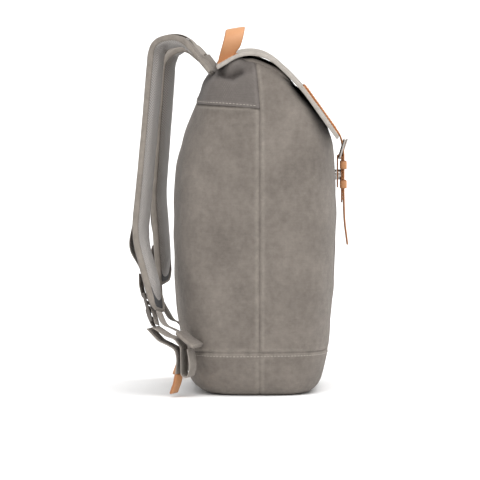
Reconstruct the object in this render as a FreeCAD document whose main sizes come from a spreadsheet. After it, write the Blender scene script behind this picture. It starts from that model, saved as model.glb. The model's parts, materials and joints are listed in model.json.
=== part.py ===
import FreeCAD, Part
import math
import os

import Sketcher
from FreeCAD import Placement, Rotation, Vector

# Canvas flap backpack, standing upright on its base.
# Frame: +Z up, origin on the floor under the middle of the base. The flap closes on the -Y side,
# the shoulder straps are on the +Y side, and the wearer's left is -X. Millimetres.

doc = FreeCAD.newDocument("travel_backpack")

# ---------------------------------------------------------------- driving dimensions
DRIVING_SIZES = [
    ("body_width", 290.0, "stuffed width across the middle"),
    ("body_depth", 200.0, "stuffed depth, front wall to back wall"),
    ("body_height", 418.0, "floor to the crown of the flap"),
    ("plan_corner", 72.0, "radius of the body's upright corners"),
    ("base_corner", 62.0, "radius of the same corners, carried down to the base"),
    ("base_band", 54.0, "floor to the seam of the base band"),
    ("bottom_rise", 12.0, "how far the bottom panel turns up at its edge"),
    ("yoke_drop", 60.0, "crown down to the yoke seam"),
    ("canvas_wall", 2.0, "outer canvas with its facing"),
    ("lining_wall", 1.0, "lining cloth"),
    ("pad_wall", 6.0, "foam in the back panel"),
    ("pad_width", 200.0, "width of the back foam"),
    ("pad_low", 70.0, "bottom edge of the back foam"),
    ("pad_drop", 83.0, "crown down to the top edge of the back foam"),
    ("board_thick", 3.0, "stiffener in the base"),
    ("board_side_gap", 55.0, "bag's side to the stiffener"),
    ("board_end_gap", 46.0, "bag's front and back to the stiffener"),
    ("board_corner", 15.0, "corners of the stiffener"),
    ("sleeve_wall", 3.0, "padded wall of the laptop sleeve"),
    ("sleeve_gap", 28.0, "room behind the sleeve wall"),
    ("sleeve_drop", 128.0, "crown down to the top edge of the laptop sleeve"),
    ("mouth_width", 210.0, "opening under the flap, across"),
    ("mouth_front", -46.0, "front lip of the opening"),
    ("mouth_back", 18.0, "back lip of the opening"),
    ("binding_width", 6.0, "bound edge round the opening"),
    ("flap_width", 252.0, "flap, across"),
    ("flap_cloth", 1.6, "flap canvas"),
    ("flap_facing", 1.2, "flap lining"),
    ("flap_edge", 5.0, "binding round the flap"),
    ("flap_room", 0.6, "air between the body and the flap"),
    ("leather", 1.8, "thickness of the tan leather"),
    ("patch_width", 46.0, "leather patch on the flap"),
    ("patch_rear", 60.56, "middle of the bag forward to the rear edge of the leather patch"),
    ("closure_width", 20.0, "closing strap"),
    ("buckle_wire", 3.0, "section of the buckle frame"),
    ("buckle_reach", 22.0, "heel bar to tip bar, on centres"),
    ("prong_wire", 2.2, "diameter of the prong"),
    ("prong_room", 0.25, "prong eye on the heel bar"),
    ("strap_room", 0.3, "air between the closing strap and the chape"),
    ("keeper_width", 10.0, "each leather keeper, up and down"),
    ("closure_room", 2.0, "air between the chape and the front"),
    ("snap_disc", 13.0, "diameter of the magnetic snap"),
    ("handle_width", 25.0, "grab handle strap"),
    ("handle_span", 76.0, "grab handle, across its feet"),
    ("handle_foot", 30.0, "each leather foot of the handle, across"),
    ("handle_rise", 36.0, "grab handle above the flap"),
    ("handle_thick", 3.6, "two layers of leather"),
    ("handle_lean", 18.0, "forward lean of the handle, degrees"),
    ("strap_width", 60.0, "shoulder strap"),
    ("strap_pad", 8.0, "foam in the shoulder strap"),
    ("strap_cloth", 2.0, "each face of the shoulder strap"),
    ("strap_root", 88.0, "middle of the bag to the middle of a strap's root"),
    ("strap_turn", 12.0, "turn of the straps about the upright, degrees"),
    ("webbing_width", 25.0, "webbing"),
    ("webbing_thick", 1.6, "webbing"),
    ("lock_length", 36.0, "ladder lock, along the webbing"),
    ("lock_width", 33.0, "ladder lock, across"),
    ("lock_thick", 3.6, "ladder lock"),
    ("lock_bar", 4.0, "bars of the ladder lock"),
    ("tab_width", 32.0, "anchor tab, across"),
    ("running_fit", 0.4, "air between parts that move past each other"),
]

sheet = doc.addObject("Spreadsheet::Sheet", "sizes")
for row, (alias, value, meaning) in enumerate(DRIVING_SIZES, start=1):
    sheet.set("A%d" % row, alias.replace("_", " "))
    sheet.set("B%d" % row, repr(value))
    sheet.set("C%d" % row, meaning)
    sheet.setAlias("B%d" % row, alias)
doc.recompute()


def size(alias):
    """A driving dimension, as the sheet holds it."""
    return float(sheet.get(alias))


# ---------------------------------------------------------------- outlines of runs and arcs
def side_plane(u, v):
    return Vector(0, u, v)


def plan_plane(u, v):
    return Vector(u, v, 0)


def front_plane(u, v):
    return Vector(u, 0, v)


def unit(a, b):
    """Unit direction from point a to point b."""
    length = math.dist(a, b)
    return ((b[0] - a[0]) / length, (b[1] - a[1]) / length)


def turn_at(before, corner, after):
    """Signed turn at a corner, positive to the left."""
    u = unit(before, corner)
    v = unit(corner, after)
    return math.atan2(u[0] * v[1] - u[1] * v[0], u[0] * v[0] + u[1] * v[1])


def moved_outline(points, radii, distance, closed):
    """The outline moved to its right by a distance, with radii that keep the arcs concentric."""
    count = len(points)
    new_points = []
    new_radii = []
    for i, corner in enumerate(points):
        first = not closed and i == 0
        last = not closed and i == count - 1
        before = points[i - 1]
        after = points[(i + 1) % count]
        if first or last:
            run = unit(corner, after) if first else unit(before, corner)
            new_points.append((corner[0] + run[1] * distance, corner[1] - run[0] * distance))
            new_radii.append(0)
            continue
        run = unit(before, corner)
        turn = turn_at(before, corner, after)
        slide = distance * math.tan(turn / 2)
        new_points.append((corner[0] + run[1] * distance + run[0] * slide,
                           corner[1] - run[0] * distance + run[1] * slide))
        new_radii.append(radii[i] + distance * math.copysign(1, turn))
    return new_points, new_radii


def outline_edges(points, radii, closed, plane):
    """Straight runs joined by tangent arcs."""
    count = len(points)
    joints = []
    for i, corner in enumerate(points):
        if radii[i] == 0:
            joints.append((corner, None, corner))
            continue
        before = points[i - 1]
        after = points[(i + 1) % count]
        turn = abs(turn_at(before, corner, after))
        reach = radii[i] * math.tan(turn / 2)
        back = unit(corner, before)
        ahead = unit(corner, after)
        middle = (back[0] + ahead[0], back[1] + ahead[1])
        bulge = (radii[i] / math.cos(turn / 2) - radii[i]) / math.hypot(*middle)
        joints.append(((corner[0] + back[0] * reach, corner[1] + back[1] * reach),
                       (corner[0] + middle[0] * bulge, corner[1] + middle[1] * bulge),
                       (corner[0] + ahead[0] * reach, corner[1] + ahead[1] * reach)))
    edges = []
    for i, (start, middle, end) in enumerate(joints):
        if middle is not None:
            edges.append(Part.Arc(plane(*start), plane(*middle), plane(*end)).toShape())
        if closed or i < count - 1:
            nearest = joints[(i + 1) % count][0]
            edges.append(Part.LineSegment(plane(*end), plane(*nearest)).toShape())
    return edges


def prism(points, radii, distance, plane, start, length):
    """A closed outline, moved outwards by a distance and extruded."""
    corners, rounds = moved_outline(points, radii, distance, True)
    face = Part.Face(Part.Wire(outline_edges(corners, rounds, True, plane)))
    face.translate(start)
    return face.extrude(length)


def band(points, radii, inner, outer, across, plane=side_plane, along=Vector(1, 0, 0)):
    """A strip whose section follows an open outline between two offsets, centred across."""
    near, near_radii = moved_outline(points, radii, inner, False)
    far, far_radii = moved_outline(points, radii, outer, False)
    edges = outline_edges(near, near_radii, False, plane)
    edges.append(Part.LineSegment(plane(*near[-1]), plane(*far[-1])).toShape())
    edges += outline_edges(far, far_radii, False, plane)
    edges.append(Part.LineSegment(plane(*far[0]), plane(*near[0])).toShape())
    face = Part.Face(Part.Wire(Part.__sortEdges__(edges)))
    face.translate(along * (-across / 2))
    return face.extrude(along * across)


# ---------------------------------------------------------------- document helpers
SUBPARTS = []


def subpart(item, node):
    """Give an object the name that its file takes."""
    item.Label = node
    SUBPARTS.append(item)
    return item


def shaped(name, shape, placement=None):
    """A feature that holds a shape worked out from the sheet."""
    item = doc.addObject("Part::Feature", name)
    item.Shape = shape
    if placement is not None:
        item.Placement = placement
    return item


def combined(kind, name, base, tool):
    """A Part boolean of two objects of the document."""
    item = doc.addObject("Part::" + kind, name)
    item.Base = base
    item.Tool = tool
    return item


def region(name, **expressions):
    """A box that marks out a region, each side and corner bound to the sheet."""
    item = doc.addObject("Part::Box", name)
    for side in ("Length", "Width", "Height"):
        item.setExpression(side, expressions[side])
    for axis in "xyz":
        item.setExpression("Placement.Base." + axis, expressions[axis])
    return item


def origin_plane(body, role):
    for plane in body.Origin.OriginFeatures:
        if plane.Role == role:
            return plane
    raise ValueError(role)


def sketch_on(body, role, name):
    sketch = body.newObject("Sketcher::SketchObject", name)
    sketch.AttachmentSupport = [(origin_plane(body, role), "")]
    sketch.MapMode = "FlatFace"
    return sketch


def add_rectangle(sketch, name, width, length, low):
    """A rectangle centred across the sketch, with its size and lower edge bound to the sheet."""
    start = sketch.GeometryCount
    corners = [(-1, 1), (1, 1), (1, 2), (-1, 2)]
    for i in range(4):
        a = Vector(*corners[i], 0)
        b = Vector(*corners[(i + 1) % 4], 0)
        sketch.addGeometry(Part.LineSegment(a, b), False)
    bottom, right, top, left = range(start, start + 4)
    for one, other in ((bottom, right), (right, top), (top, left), (left, bottom)):
        sketch.addConstraint(Sketcher.Constraint("Coincident", one, 2, other, 1))
    sketch.addConstraint(Sketcher.Constraint("Horizontal", top))
    sketch.addConstraint(Sketcher.Constraint("Vertical", right))
    sketch.addConstraint(Sketcher.Constraint("Vertical", left))
    sketch.addConstraint(Sketcher.Constraint("Symmetric", bottom, 1, bottom, 2, -2))
    bound = (("DistanceX", (bottom, 1, bottom, 2), 2.0, name + "_width", width),
             ("DistanceY", (right, 1, right, 2), 1.0, name + "_length", length),
             ("DistanceY", (-1, 1, bottom, 1), 1.0, name + "_low", low))
    for kind, ends, value, label, expression in bound:
        index = sketch.addConstraint(Sketcher.Constraint(kind, *ends, value))
        sketch.renameConstraint(index, label)
        sketch.setExpression("Constraints." + label, expression)


def pad(body, sketch, name, length):
    feature = body.newObject("PartDesign::Pad", name)
    feature.Profile = sketch
    feature.setExpression("Length", length)
    return feature


def rounded(body, base, name, radius, wanted):
    """A fillet on the edges of a feature that a test picks out."""
    doc.recompute()
    names = ["Edge%d" % (i + 1) for i, edge in enumerate(base.Shape.Edges) if wanted(edge)]
    feature = body.newObject("PartDesign::Fillet", name)
    feature.Base = (base, names)
    feature.setExpression("Radius", radius)
    return feature


def is_upright(edge):
    run = edge.tangentAt(edge.FirstParameter)
    return abs(run.z) > 0.99


# ---------------------------------------------------------------- the stuffed body and its cloth
HALF = size("body_width") / 2
BACK = size("body_depth") / 2
FRONT = -BACK
CROWN = size("body_height")
REACH = 30.0
SIDE_WALL = size("canvas_wall") + size("lining_wall")

# underside of the flap: from its seam behind the crown, over the top and down to its front edge
CROWN_LINE = [(BACK - 54, CROWN - 17), (BACK - 79, CROWN - 3.5), (BACK - 112, CROWN - 3.5),
              (FRONT + 50, CROWN - 33), (FRONT - 0.5, CROWN - 103.5)]
CROWN_RADII = [0, 40, 60, 150, 0]


def body_volume(depth):
    """The stuffed shape, drawn in by a depth of cloth: its side, plan and front outlines in common."""
    crown, _ = moved_outline(CROWN_LINE, CROWN_RADII, -size("flap_room"), False)
    side = [(FRONT + 22, 0), (BACK - 12, 0), (BACK, 130), (BACK, CROWN - 156),
            (BACK - 24, CROWN - 68), (BACK - 42, CROWN - 25)] + crown[1:] + [(FRONT, 110)]
    side_radii = [22, 34, 300, 200, 200, 14, 40, 60, 150, 60, 250]
    # level, half width, front, back and corner radius of the plan, which swells from the base up
    levels = [(-REACH, HALF - 27, FRONT + 14, BACK - 6, size("base_corner")),
              (130, HALF + 4, FRONT - 3, BACK + 3, size("plan_corner")),
              (CROWN + REACH, HALF - 12, FRONT - 3, BACK + 3, size("plan_corner"))]
    sections = []
    for level, half, front, back, corner in levels:
        plan = [(-half, front), (half, front), (half, back), (-half, back)]
        corners, rounds = moved_outline(plan, [corner] * 4, -depth, True)
        section = Part.Wire(outline_edges(corners, rounds, True, plan_plane))
        section.translate(Vector(0, 0, level))
        sections.append(section)
    rounded_corners = Part.makeLoft(sections, True, True)
    right = [(HALF - 22, -1), (HALF + 2, 130), (HALF + 2, CROWN - 148), (HALF - 17, CROWN + 8)]
    front = right + [(-x, z) for x, z in reversed(right)]
    front_radii = [26, 200, 300, 32, 32, 300, 200, 26]
    across = 2 * (HALF + REACH)
    seen_from_side = prism(side, side_radii, -depth, side_plane, Vector(-across / 2, 0, 0),
                           Vector(across, 0, 0))
    seen_from_front = prism(front, front_radii, -depth, front_plane, Vector(0, FRONT - REACH, 0),
                            Vector(0, 2 * (BACK + REACH), 0))
    return seen_from_front.common(seen_from_side).common(rounded_corners).Solids[0]


outer_volume = shaped("outer_volume", body_volume(0))
lined_volume = shaped("lined_volume", body_volume(size("canvas_wall")))
inner_volume = shaped("inner_volume", body_volume(SIDE_WALL))
padded_volume = shaped("padded_volume", body_volume(SIDE_WALL + size("pad_wall")))
canvas_shell = combined("Cut", "canvas_shell", outer_volume, lined_volume)
lining_shell = combined("Cut", "lining_shell", lined_volume, inner_volume)
whole_wall = combined("Cut", "whole_wall", outer_volume, inner_volume)
pad_shell = combined("Cut", "pad_shell", inner_volume, padded_volume)

WIDE = dict(Length="sizes.body_width + 60", x="-sizes.body_width / 2 - 30")
WHOLE_PLAN = dict(WIDE, Width="sizes.body_depth + 60", y="-sizes.body_depth / 2 - 30")
FRONT_HALF = dict(WIDE, Width="sizes.body_depth / 2 + 30", y="-sizes.body_depth / 2 - 30")
BACK_HALF = dict(WIDE, Width="sizes.body_depth / 2 + 30", y="0")

bottom_region = region("bottom_region", Height="sizes.bottom_rise + 20", z="-20", **WHOLE_PLAN)
band_region = region("band_region", Height="sizes.base_band - sizes.bottom_rise",
                     z="sizes.bottom_rise", **WHOLE_PLAN)
front_region = region("front_region", Height="sizes.body_height", z="sizes.base_band", **FRONT_HALF)
back_region = region("back_region", z="sizes.base_band",
                     Height="sizes.body_height - sizes.yoke_drop - sizes.base_band", **BACK_HALF)
yoke_region = region("yoke_region", Height="sizes.yoke_drop + 20",
                     z="sizes.body_height - sizes.yoke_drop", **BACK_HALF)
mouth_region = region(
    "mouth_region", Length="sizes.mouth_width", x="-sizes.mouth_width / 2",
    Width="sizes.mouth_back - sizes.mouth_front", y="sizes.mouth_front",
    Height="80", z="sizes.body_height - 60")
binding_region = region(
    "binding_region", Length="sizes.mouth_width + 2 * sizes.binding_width",
    x="-sizes.mouth_width / 2 - sizes.binding_width",
    Width="sizes.mouth_back - sizes.mouth_front + 2 * sizes.binding_width",
    y="sizes.mouth_front - sizes.binding_width", Height="80", z="sizes.body_height - 60")

subpart(combined("Common", "bottom_cloth", canvas_shell, bottom_region), "bottom_panel")
subpart(combined("Common", "band_cloth", canvas_shell, band_region), "base_band")
subpart(combined("Common", "back_cloth", canvas_shell, back_region), "back_panel")
front_cloth = combined("Common", "front_cloth", canvas_shell, front_region)
subpart(combined("Cut", "front_with_mouth", front_cloth, binding_region), "front_panel")
yoke_cloth = combined("Common", "yoke_cloth", canvas_shell, yoke_region)
subpart(combined("Cut", "yoke_with_mouth", yoke_cloth, binding_region), "back_yoke")
subpart(combined("Cut", "lining_with_mouth", lining_shell, binding_region), "lining")
bound_edge = combined("Common", "bound_edge", whole_wall, binding_region)
subpart(combined("Cut", "mouth_edge", bound_edge, mouth_region), "mouth_binding")

# the foam behind the back panel and the laptop sleeve in front of it
pad_region = region(
    "pad_region", Length="sizes.pad_width", x="-sizes.pad_width / 2",
    Width="sizes.body_depth / 2", y="sizes.body_depth / 4",
    Height="sizes.body_height - sizes.pad_drop - sizes.pad_low", z="sizes.pad_low")
subpart(combined("Common", "back_padding", pad_shell, pad_region), "back_foam")
sleeve_region = region(
    "sleeve_region", Width="sizes.sleeve_wall", Height="sizes.body_height - sizes.sleeve_drop",
    y="sizes.body_depth / 2 - sizes.canvas_wall - sizes.lining_wall - sizes.pad_wall"
      " - sizes.sleeve_gap - sizes.sleeve_wall", z="0", **WIDE)
subpart(combined("Common", "sleeve_cloth", inner_volume, sleeve_region), "laptop_sleeve")

# the stiffener that lies on the lining in the base
board = doc.addObject("PartDesign::Body", "board")
board_outline = sketch_on(board, "XY_Plane", "board_outline")
add_rectangle(board_outline, "board", "sizes.body_width - 2 * sizes.board_side_gap",
              "sizes.body_depth - 2 * sizes.board_end_gap",
              "-sizes.body_depth / 2 + sizes.board_end_gap")
board_pad = pad(board, board_outline, "board_pad", "sizes.board_thick")
rounded(board, board_pad, "board_corners", "sizes.board_corner", is_upright)
board.Placement = Placement(Vector(0, 0, SIDE_WALL), Rotation())
subpart(board, "base_board")


# ---------------------------------------------------------------- flap, its leather and the handle
FLAP_THICK = size("flap_facing") + size("flap_cloth")
PATCH_TOP = FLAP_THICK + size("leather")
FALL = unit(CROWN_LINE[-2], CROWN_LINE[-1])
FLAP_OUT = (FALL[1], -FALL[0])


def flap_strip(inner, outer, across):
    return band(CROWN_LINE, CROWN_RADII, inner, outer, across)


def flap_edge_point(offset, beyond=0.0):
    """A point over the flap's front edge, at an offset from the cloth's underside."""
    edge = CROWN_LINE[-1]
    return (edge[0] + FLAP_OUT[0] * offset + FALL[0] * beyond,
            edge[1] + FLAP_OUT[1] * offset + FALL[1] * beyond)


flap_middle = region(
    "flap_middle", Length="sizes.flap_width - 2 * sizes.flap_edge",
    x="-sizes.flap_width / 2 + sizes.flap_edge", Width="sizes.body_depth",
    y="-sizes.body_depth / 2 + sizes.flap_edge / 2", Height="sizes.body_height", z="60")
facing_strip = shaped("facing_strip", flap_strip(0, size("flap_facing"), size("flap_width")))
cloth_strip = shaped("cloth_strip",
                     flap_strip(size("flap_facing"), FLAP_THICK, size("flap_width")))
edge_strip = shaped("edge_strip", flap_strip(0, FLAP_THICK, size("flap_width")))
subpart(combined("Common", "flap_under", facing_strip, flap_middle), "flap_lining")
subpart(combined("Common", "flap_over", cloth_strip, flap_middle), "flap_outer")
subpart(combined("Cut", "flap_border", edge_strip, flap_middle), "flap_binding")

patch_region = region(
    "patch_region", Length="sizes.flap_width", x="-sizes.flap_width / 2", Width="sizes.body_depth / 2",
    y="-sizes.body_depth / 2 - sizes.patch_rear", Height="sizes.body_height", z="60")
patch_strip = shaped("patch_strip", flap_strip(FLAP_THICK, PATCH_TOP, size("patch_width")))
subpart(combined("Common", "patch_leather", patch_strip, patch_region), "closure_patch")
upper_strip = shaped("upper_strip",
                     flap_strip(PATCH_TOP, PATCH_TOP + size("leather"), size("closure_width")))
subpart(combined("Common", "upper_leather", upper_strip, patch_region), "strap_top")

# grab handle: two leather feet on the flap's slope and a loop that leans forward
RISE = unit(CROWN_LINE[1], CROWN_LINE[0])
SLOPE = math.degrees(math.atan2(RISE[1], RISE[0]))
foot_region = region(
    "foot_region", Length="sizes.handle_span + sizes.handle_foot",
    x="-(sizes.handle_span + sizes.handle_foot) / 2", Width="sizes.handle_width",
    y="sizes.body_depth / 2 - 55 - sizes.handle_width", Height="100", z="sizes.body_height - 50")
foot_strips = Part.makeCompound([
    band(CROWN_LINE, CROWN_RADII, FLAP_THICK, PATCH_TOP, size("handle_foot"))
    .translated(Vector(side * size("handle_span") / 2, 0, 0)) for side in (-1, 1)])
foot_leather = shaped("foot_leather", foot_strips)
subpart(combined("Common", "foot_pair", foot_leather, foot_region), "handle_feet")

HANDLE_BASE = Vector(
    0, CROWN_LINE[0][0] - RISE[0] * size("handle_width") / 2 - RISE[1] * PATCH_TOP,
    CROWN_LINE[0][1] - RISE[1] * size("handle_width") / 2 + RISE[0] * PATCH_TOP)
half_span = size("handle_span") / 2
half_strap = size("handle_thick") / 2
LOOP_LINE = [(-half_span, -12), (-half_span, size("handle_rise")), (half_span, size("handle_rise")),
             (half_span, -12)]
LOOP_RADII = [0, 27, 27, 0]
loop_strip = shaped(
    "loop_strip",
    band(LOOP_LINE, LOOP_RADII, -half_strap, half_strap, size("handle_width"), front_plane,
         Vector(0, 1, 0)),
    Placement(HANDLE_BASE, Rotation(Vector(1, 0, 0), size("handle_lean"))))
below_slope = doc.addObject("Part::Box", "below_slope")
below_slope.Length, below_slope.Width, below_slope.Height = 200, 120, 60
slope_turn = Rotation(Vector(1, 0, 0), SLOPE)
below_slope.Placement = Placement(
    HANDLE_BASE + slope_turn.multVec(Vector(-100, -60, -60)), slope_turn)
subpart(combined("Cut", "loop_leather", loop_strip, below_slope), "handle_loop")


# ---------------------------------------------------------------- closing strap and its buckle
LEATHER = size("leather")
BAR = size("buckle_wire")
EYE = BAR / 2 + size("prong_room")
CHAPE_BACK = FRONT - size("closure_room")
HEEL_Y = CHAPE_BACK - LEATHER - EYE
HEEL_DROP = 25.5
HEEL_Z = CROWN_LINE[-1][1] - HEEL_DROP
CHAPE_FRONT = HEEL_Y - EYE - LEATHER
BILLET_BACK = CHAPE_FRONT - size("strap_room")
BILLET_MID = BILLET_BACK - LEATHER / 2
PIVOT = flap_edge_point(PATCH_TOP + LEATHER / 2, 1.2)
billet_start = flap_edge_point(PATCH_TOP + LEATHER / 2, 2.6)

# heights over and under the heel bar: where the strap leaves the flap's slope and where its tail ends
BILLET_LINE = [billet_start, (billet_start[0] - 1.2, HEEL_Z + 20), (BILLET_MID, HEEL_Z + 5),
               (BILLET_MID, HEEL_Z - 42), (BILLET_MID - 1, HEEL_Z - 79), (BILLET_MID - 5, HEEL_Z - 110)]
BILLET_RADII = [0, 12, 30, 200, 200, 0]
billet_strip = shaped("billet_strip",
                      band(BILLET_LINE, BILLET_RADII, -LEATHER / 2, LEATHER / 2, size("closure_width")))


def slot_box(name, across, low, high):
    """A slot through the closing leather for the prong."""
    item = doc.addObject("Part::Box", name)
    item.Length, item.Width, item.Height = across, 30, high - low
    item.Placement = Placement(Vector(-across / 2, HEEL_Y - 25, low), Rotation())
    return item


SLOT = size("prong_wire") + 1.0
billet_hole = slot_box("billet_hole", SLOT, HEEL_Z - 2.5, HEEL_Z + 13)
subpart(combined("Cut", "billet_leather", billet_strip, billet_hole), "billet")

CHAPE_LINE = [(CHAPE_BACK - LEATHER / 2, HEEL_Z - 38), (CHAPE_BACK - LEATHER / 2, HEEL_Z + EYE + LEATHER / 2),
              (CHAPE_FRONT + LEATHER / 2, HEEL_Z + EYE + LEATHER / 2),
              (CHAPE_FRONT + LEATHER / 2, HEEL_Z - 57)]
chape_turn = EYE + LEATHER / 2 - 0.05
chape_strip = shaped("chape_strip",
                     band(CHAPE_LINE, [0, chape_turn, chape_turn, 0], -LEATHER / 2, LEATHER / 2,
                          size("closure_width")))
chape_slot = slot_box("chape_slot", SLOT + 0.6, HEEL_Z - 6, HEEL_Z + 8)
chape_slot.Placement.Base.y = HEEL_Y - 15
subpart(combined("Cut", "chape_leather", chape_strip, chape_slot), "chape")

# two leather keepers round the outer layer of the chape and the billet
KEEPER_BACK = CHAPE_FRONT + LEATHER
KEEPER_FRONT = BILLET_BACK - LEATHER - 0.2
KEEPER_WALL = 1.4
KEEPER_DROPS = {"keeper_upper": 5, "keeper_lower": 29}
for node, drop in KEEPER_DROPS.items():
    top = HEEL_Z - drop
    wall = KEEPER_WALL
    half = size("closure_width") / 2 + 0.4
    depth = KEEPER_BACK - KEEPER_FRONT
    outer_loop = doc.addObject("Part::Box", node + "_outside")
    outer_loop.Length, outer_loop.Width = 2 * (half + wall), depth + 2 * wall - 0.2
    outer_loop.setExpression("Height", "sizes.keeper_width")
    outer_loop.Placement.Base = Vector(-half - wall, KEEPER_FRONT - wall, top - size("keeper_width"))
    inner_loop = doc.addObject("Part::Box", node + "_inside")
    inner_loop.Length, inner_loop.Width, inner_loop.Height = 2 * half, depth, 40
    inner_loop.Placement.Base = Vector(-half, KEEPER_FRONT, top - 30)
    subpart(combined("Cut", node + "_leather", outer_loop, inner_loop), node)

# buckle frame, drawn flat about its heel bar and then leaned out over the strap
LEAN = 16.0
frame_turn = Rotation(Vector(1, 0, 0), 90 + LEAN)
HEEL = Vector(0, HEEL_Y, HEEL_Z)
buckle = doc.addObject("PartDesign::Body", "buckle")
buckle_outline = sketch_on(buckle, "XY_Plane", "buckle_outline")
add_rectangle(buckle_outline, "outside", "sizes.closure_width + 1.2 + 2 * sizes.buckle_wire",
              "sizes.buckle_reach + sizes.buckle_wire", "-sizes.buckle_wire / 2")
add_rectangle(buckle_outline, "inside", "sizes.closure_width + 1.2",
              "sizes.buckle_reach - sizes.buckle_wire", "sizes.buckle_wire / 2")
buckle_pad = pad(buckle, buckle_outline, "buckle_pad", "sizes.buckle_wire")
buckle_corners = rounded(buckle, buckle_pad, "buckle_corners", "sizes.buckle_wire * 0.45", is_upright)
rounded(buckle, buckle_corners, "buckle_rounding", "sizes.buckle_wire * 0.4",
        lambda edge: not is_upright(edge))
buckle.Placement = Placement(HEEL + frame_turn.multVec(Vector(0, 0, -BAR / 2)), frame_turn)
subpart(buckle, "buckle_frame")

# prong: an eye round the heel bar and a rod that lies over the tip bar
tip_bar = HEEL + frame_turn.multVec(Vector(0, size("buckle_reach"), 0))
outwards = frame_turn.multVec(Vector(0, 0, 1))
rod_start = HEEL + outwards * (EYE + 0.5)
rod_rest = tip_bar + outwards * (BAR / 2 + size("prong_wire") / 2 + 0.35)
rod_run = (rod_rest - rod_start).normalize()
rod_length = (rod_rest - rod_start).Length + 2.5
eye_width = size("prong_wire")
to_across = Rotation(Vector(0, 0, 1), Vector(1, 0, 0))
eye = doc.addObject("Part::Cylinder", "prong_eye")
eye.Radius, eye.Height = EYE + 1.1, eye_width
eye.Placement = Placement(HEEL - Vector(eye_width / 2, 0, 0), to_across)
rod = doc.addObject("Part::Cylinder", "prong_rod")
rod.setExpression("Radius", "sizes.prong_wire / 2")
rod.Height = rod_length
rod.Placement = Placement(rod_start, Rotation(Vector(0, 0, 1), rod_run))
heel_hole = doc.addObject("Part::Cylinder", "prong_hole")
heel_hole.Radius, heel_hole.Height = EYE, 3 * eye_width
heel_hole.Placement = Placement(HEEL - Vector(1.5 * eye_width, 0, 0), to_across)
prong_ring = combined("Cut", "prong_ring", eye, heel_hole)
prong_rod = combined("Cut", "prong_rod_cut", rod, heel_hole)
prong_with_eye = combined("Fuse", "prong_with_eye", prong_ring, prong_rod)
prong_with_eye.Refine = False
subpart(prong_with_eye, "buckle_prong")

# magnetic snap behind the chape: one disc on the front panel, one between the chape's layers
SNAP_Z = HEEL_Z - 22
SNAP_ROOM = size("running_fit")
for node, back, thick in (
        ("snap_stud", FRONT, size("closure_room") - SNAP_ROOM),
        ("snap_cap", CHAPE_BACK - LEATHER, 2 * EYE)):
    disc = doc.addObject("PartDesign::Body", node + "_body")
    disc_outline = sketch_on(disc, "XZ_Plane", node + "_outline")
    disc_outline.addGeometry(Part.Circle(Vector(0, 0, 0), Vector(0, 0, 1), 5), False)
    disc_outline.addConstraint(Sketcher.Constraint("Coincident", 0, 3, -1, 1))
    ring = disc_outline.addConstraint(Sketcher.Constraint("Diameter", 0, 10))
    disc_outline.renameConstraint(ring, "disc")
    disc_outline.setExpression("Constraints.disc", "sizes.snap_disc")
    disc_pad = disc.newObject("PartDesign::Pad", node + "_pad")
    disc_pad.Profile = disc_outline
    disc_pad.Length = thick
    disc.Placement = Placement(Vector(0, back, SNAP_Z), Rotation())
    if node == "snap_stud":
        disc = combined("Cut", "snap_stud_disc", disc, outer_volume)
    subpart(disc, node)


# ---------------------------------------------------------------- shoulder straps
RIBBON_FOOT = 42.0
RIBBON_HEAD = 20.0
PIVOT_HIGH = 23.0
ROOT_GAP = 10.0
STRAP_PAD = size("strap_pad") / 2
STRAP_FACE = STRAP_PAD + size("strap_cloth")
WEB = size("webbing_thick")
ROOT_Y = BACK - 44
ROOT_Z = CROWN - 17.4

# each strap's middle line, from its padded end up over the shoulder and down to its root
STRAPS = {
    "left": dict(
        line=[(ROOT_Y + 63, ROOT_Z - 297), (ROOT_Y + 88, ROOT_Z - 206), (ROOT_Y + 66, ROOT_Z + 34),
              (ROOT_Y + 31, ROOT_Z + 38), (ROOT_Y, ROOT_Z)],
        radii=[0, 110, 21, 27, 0], side=-1, splay=8.5, webbing_turn=-20.0),
    "right": dict(
        line=[(ROOT_Y + 60, ROOT_Z - 279), (ROOT_Y + 68, ROOT_Z - 166), (ROOT_Y + 55, ROOT_Z + 11),
              (ROOT_Y + 28, ROOT_Z + 27), (ROOT_Y, ROOT_Z)],
        radii=[0, 150, 25, 19, 0], side=1, splay=-4.0, webbing_turn=20.0),
}


def shortened(line, start=0.0, end=0.0):
    """An open line with a length taken off its first and last runs."""
    first = unit(line[0], line[1])
    last = unit(line[-1], line[-2])
    return ([(line[0][0] + first[0] * start, line[0][1] + first[1] * start)] + line[1:-1]
            + [(line[-1][0] + last[0] * end, line[-1][1] + last[1] * end)])


def beside(line, along, out):
    """A point beside the lower end of a strap's line: so far up it, and so far out from it."""
    run = unit(line[0], line[1])
    return (line[0][0] + run[0] * along + run[1] * out, line[0][1] + run[1] * along - run[0] * out)


# the flap needs room to fold back in front of the strap anchors
HINGE_ROOM = 4.5
under_the_hinge = doc.addObject("Part::Box", "under_the_hinge")
under_the_hinge.Length, under_the_hinge.Width, under_the_hinge.Height = 300, 60, 60
under_the_hinge.Placement.Base = Vector(-150, CROWN_LINE[0][0] + HINGE_ROOM - 60, CROWN_LINE[0][1] - 20)

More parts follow.
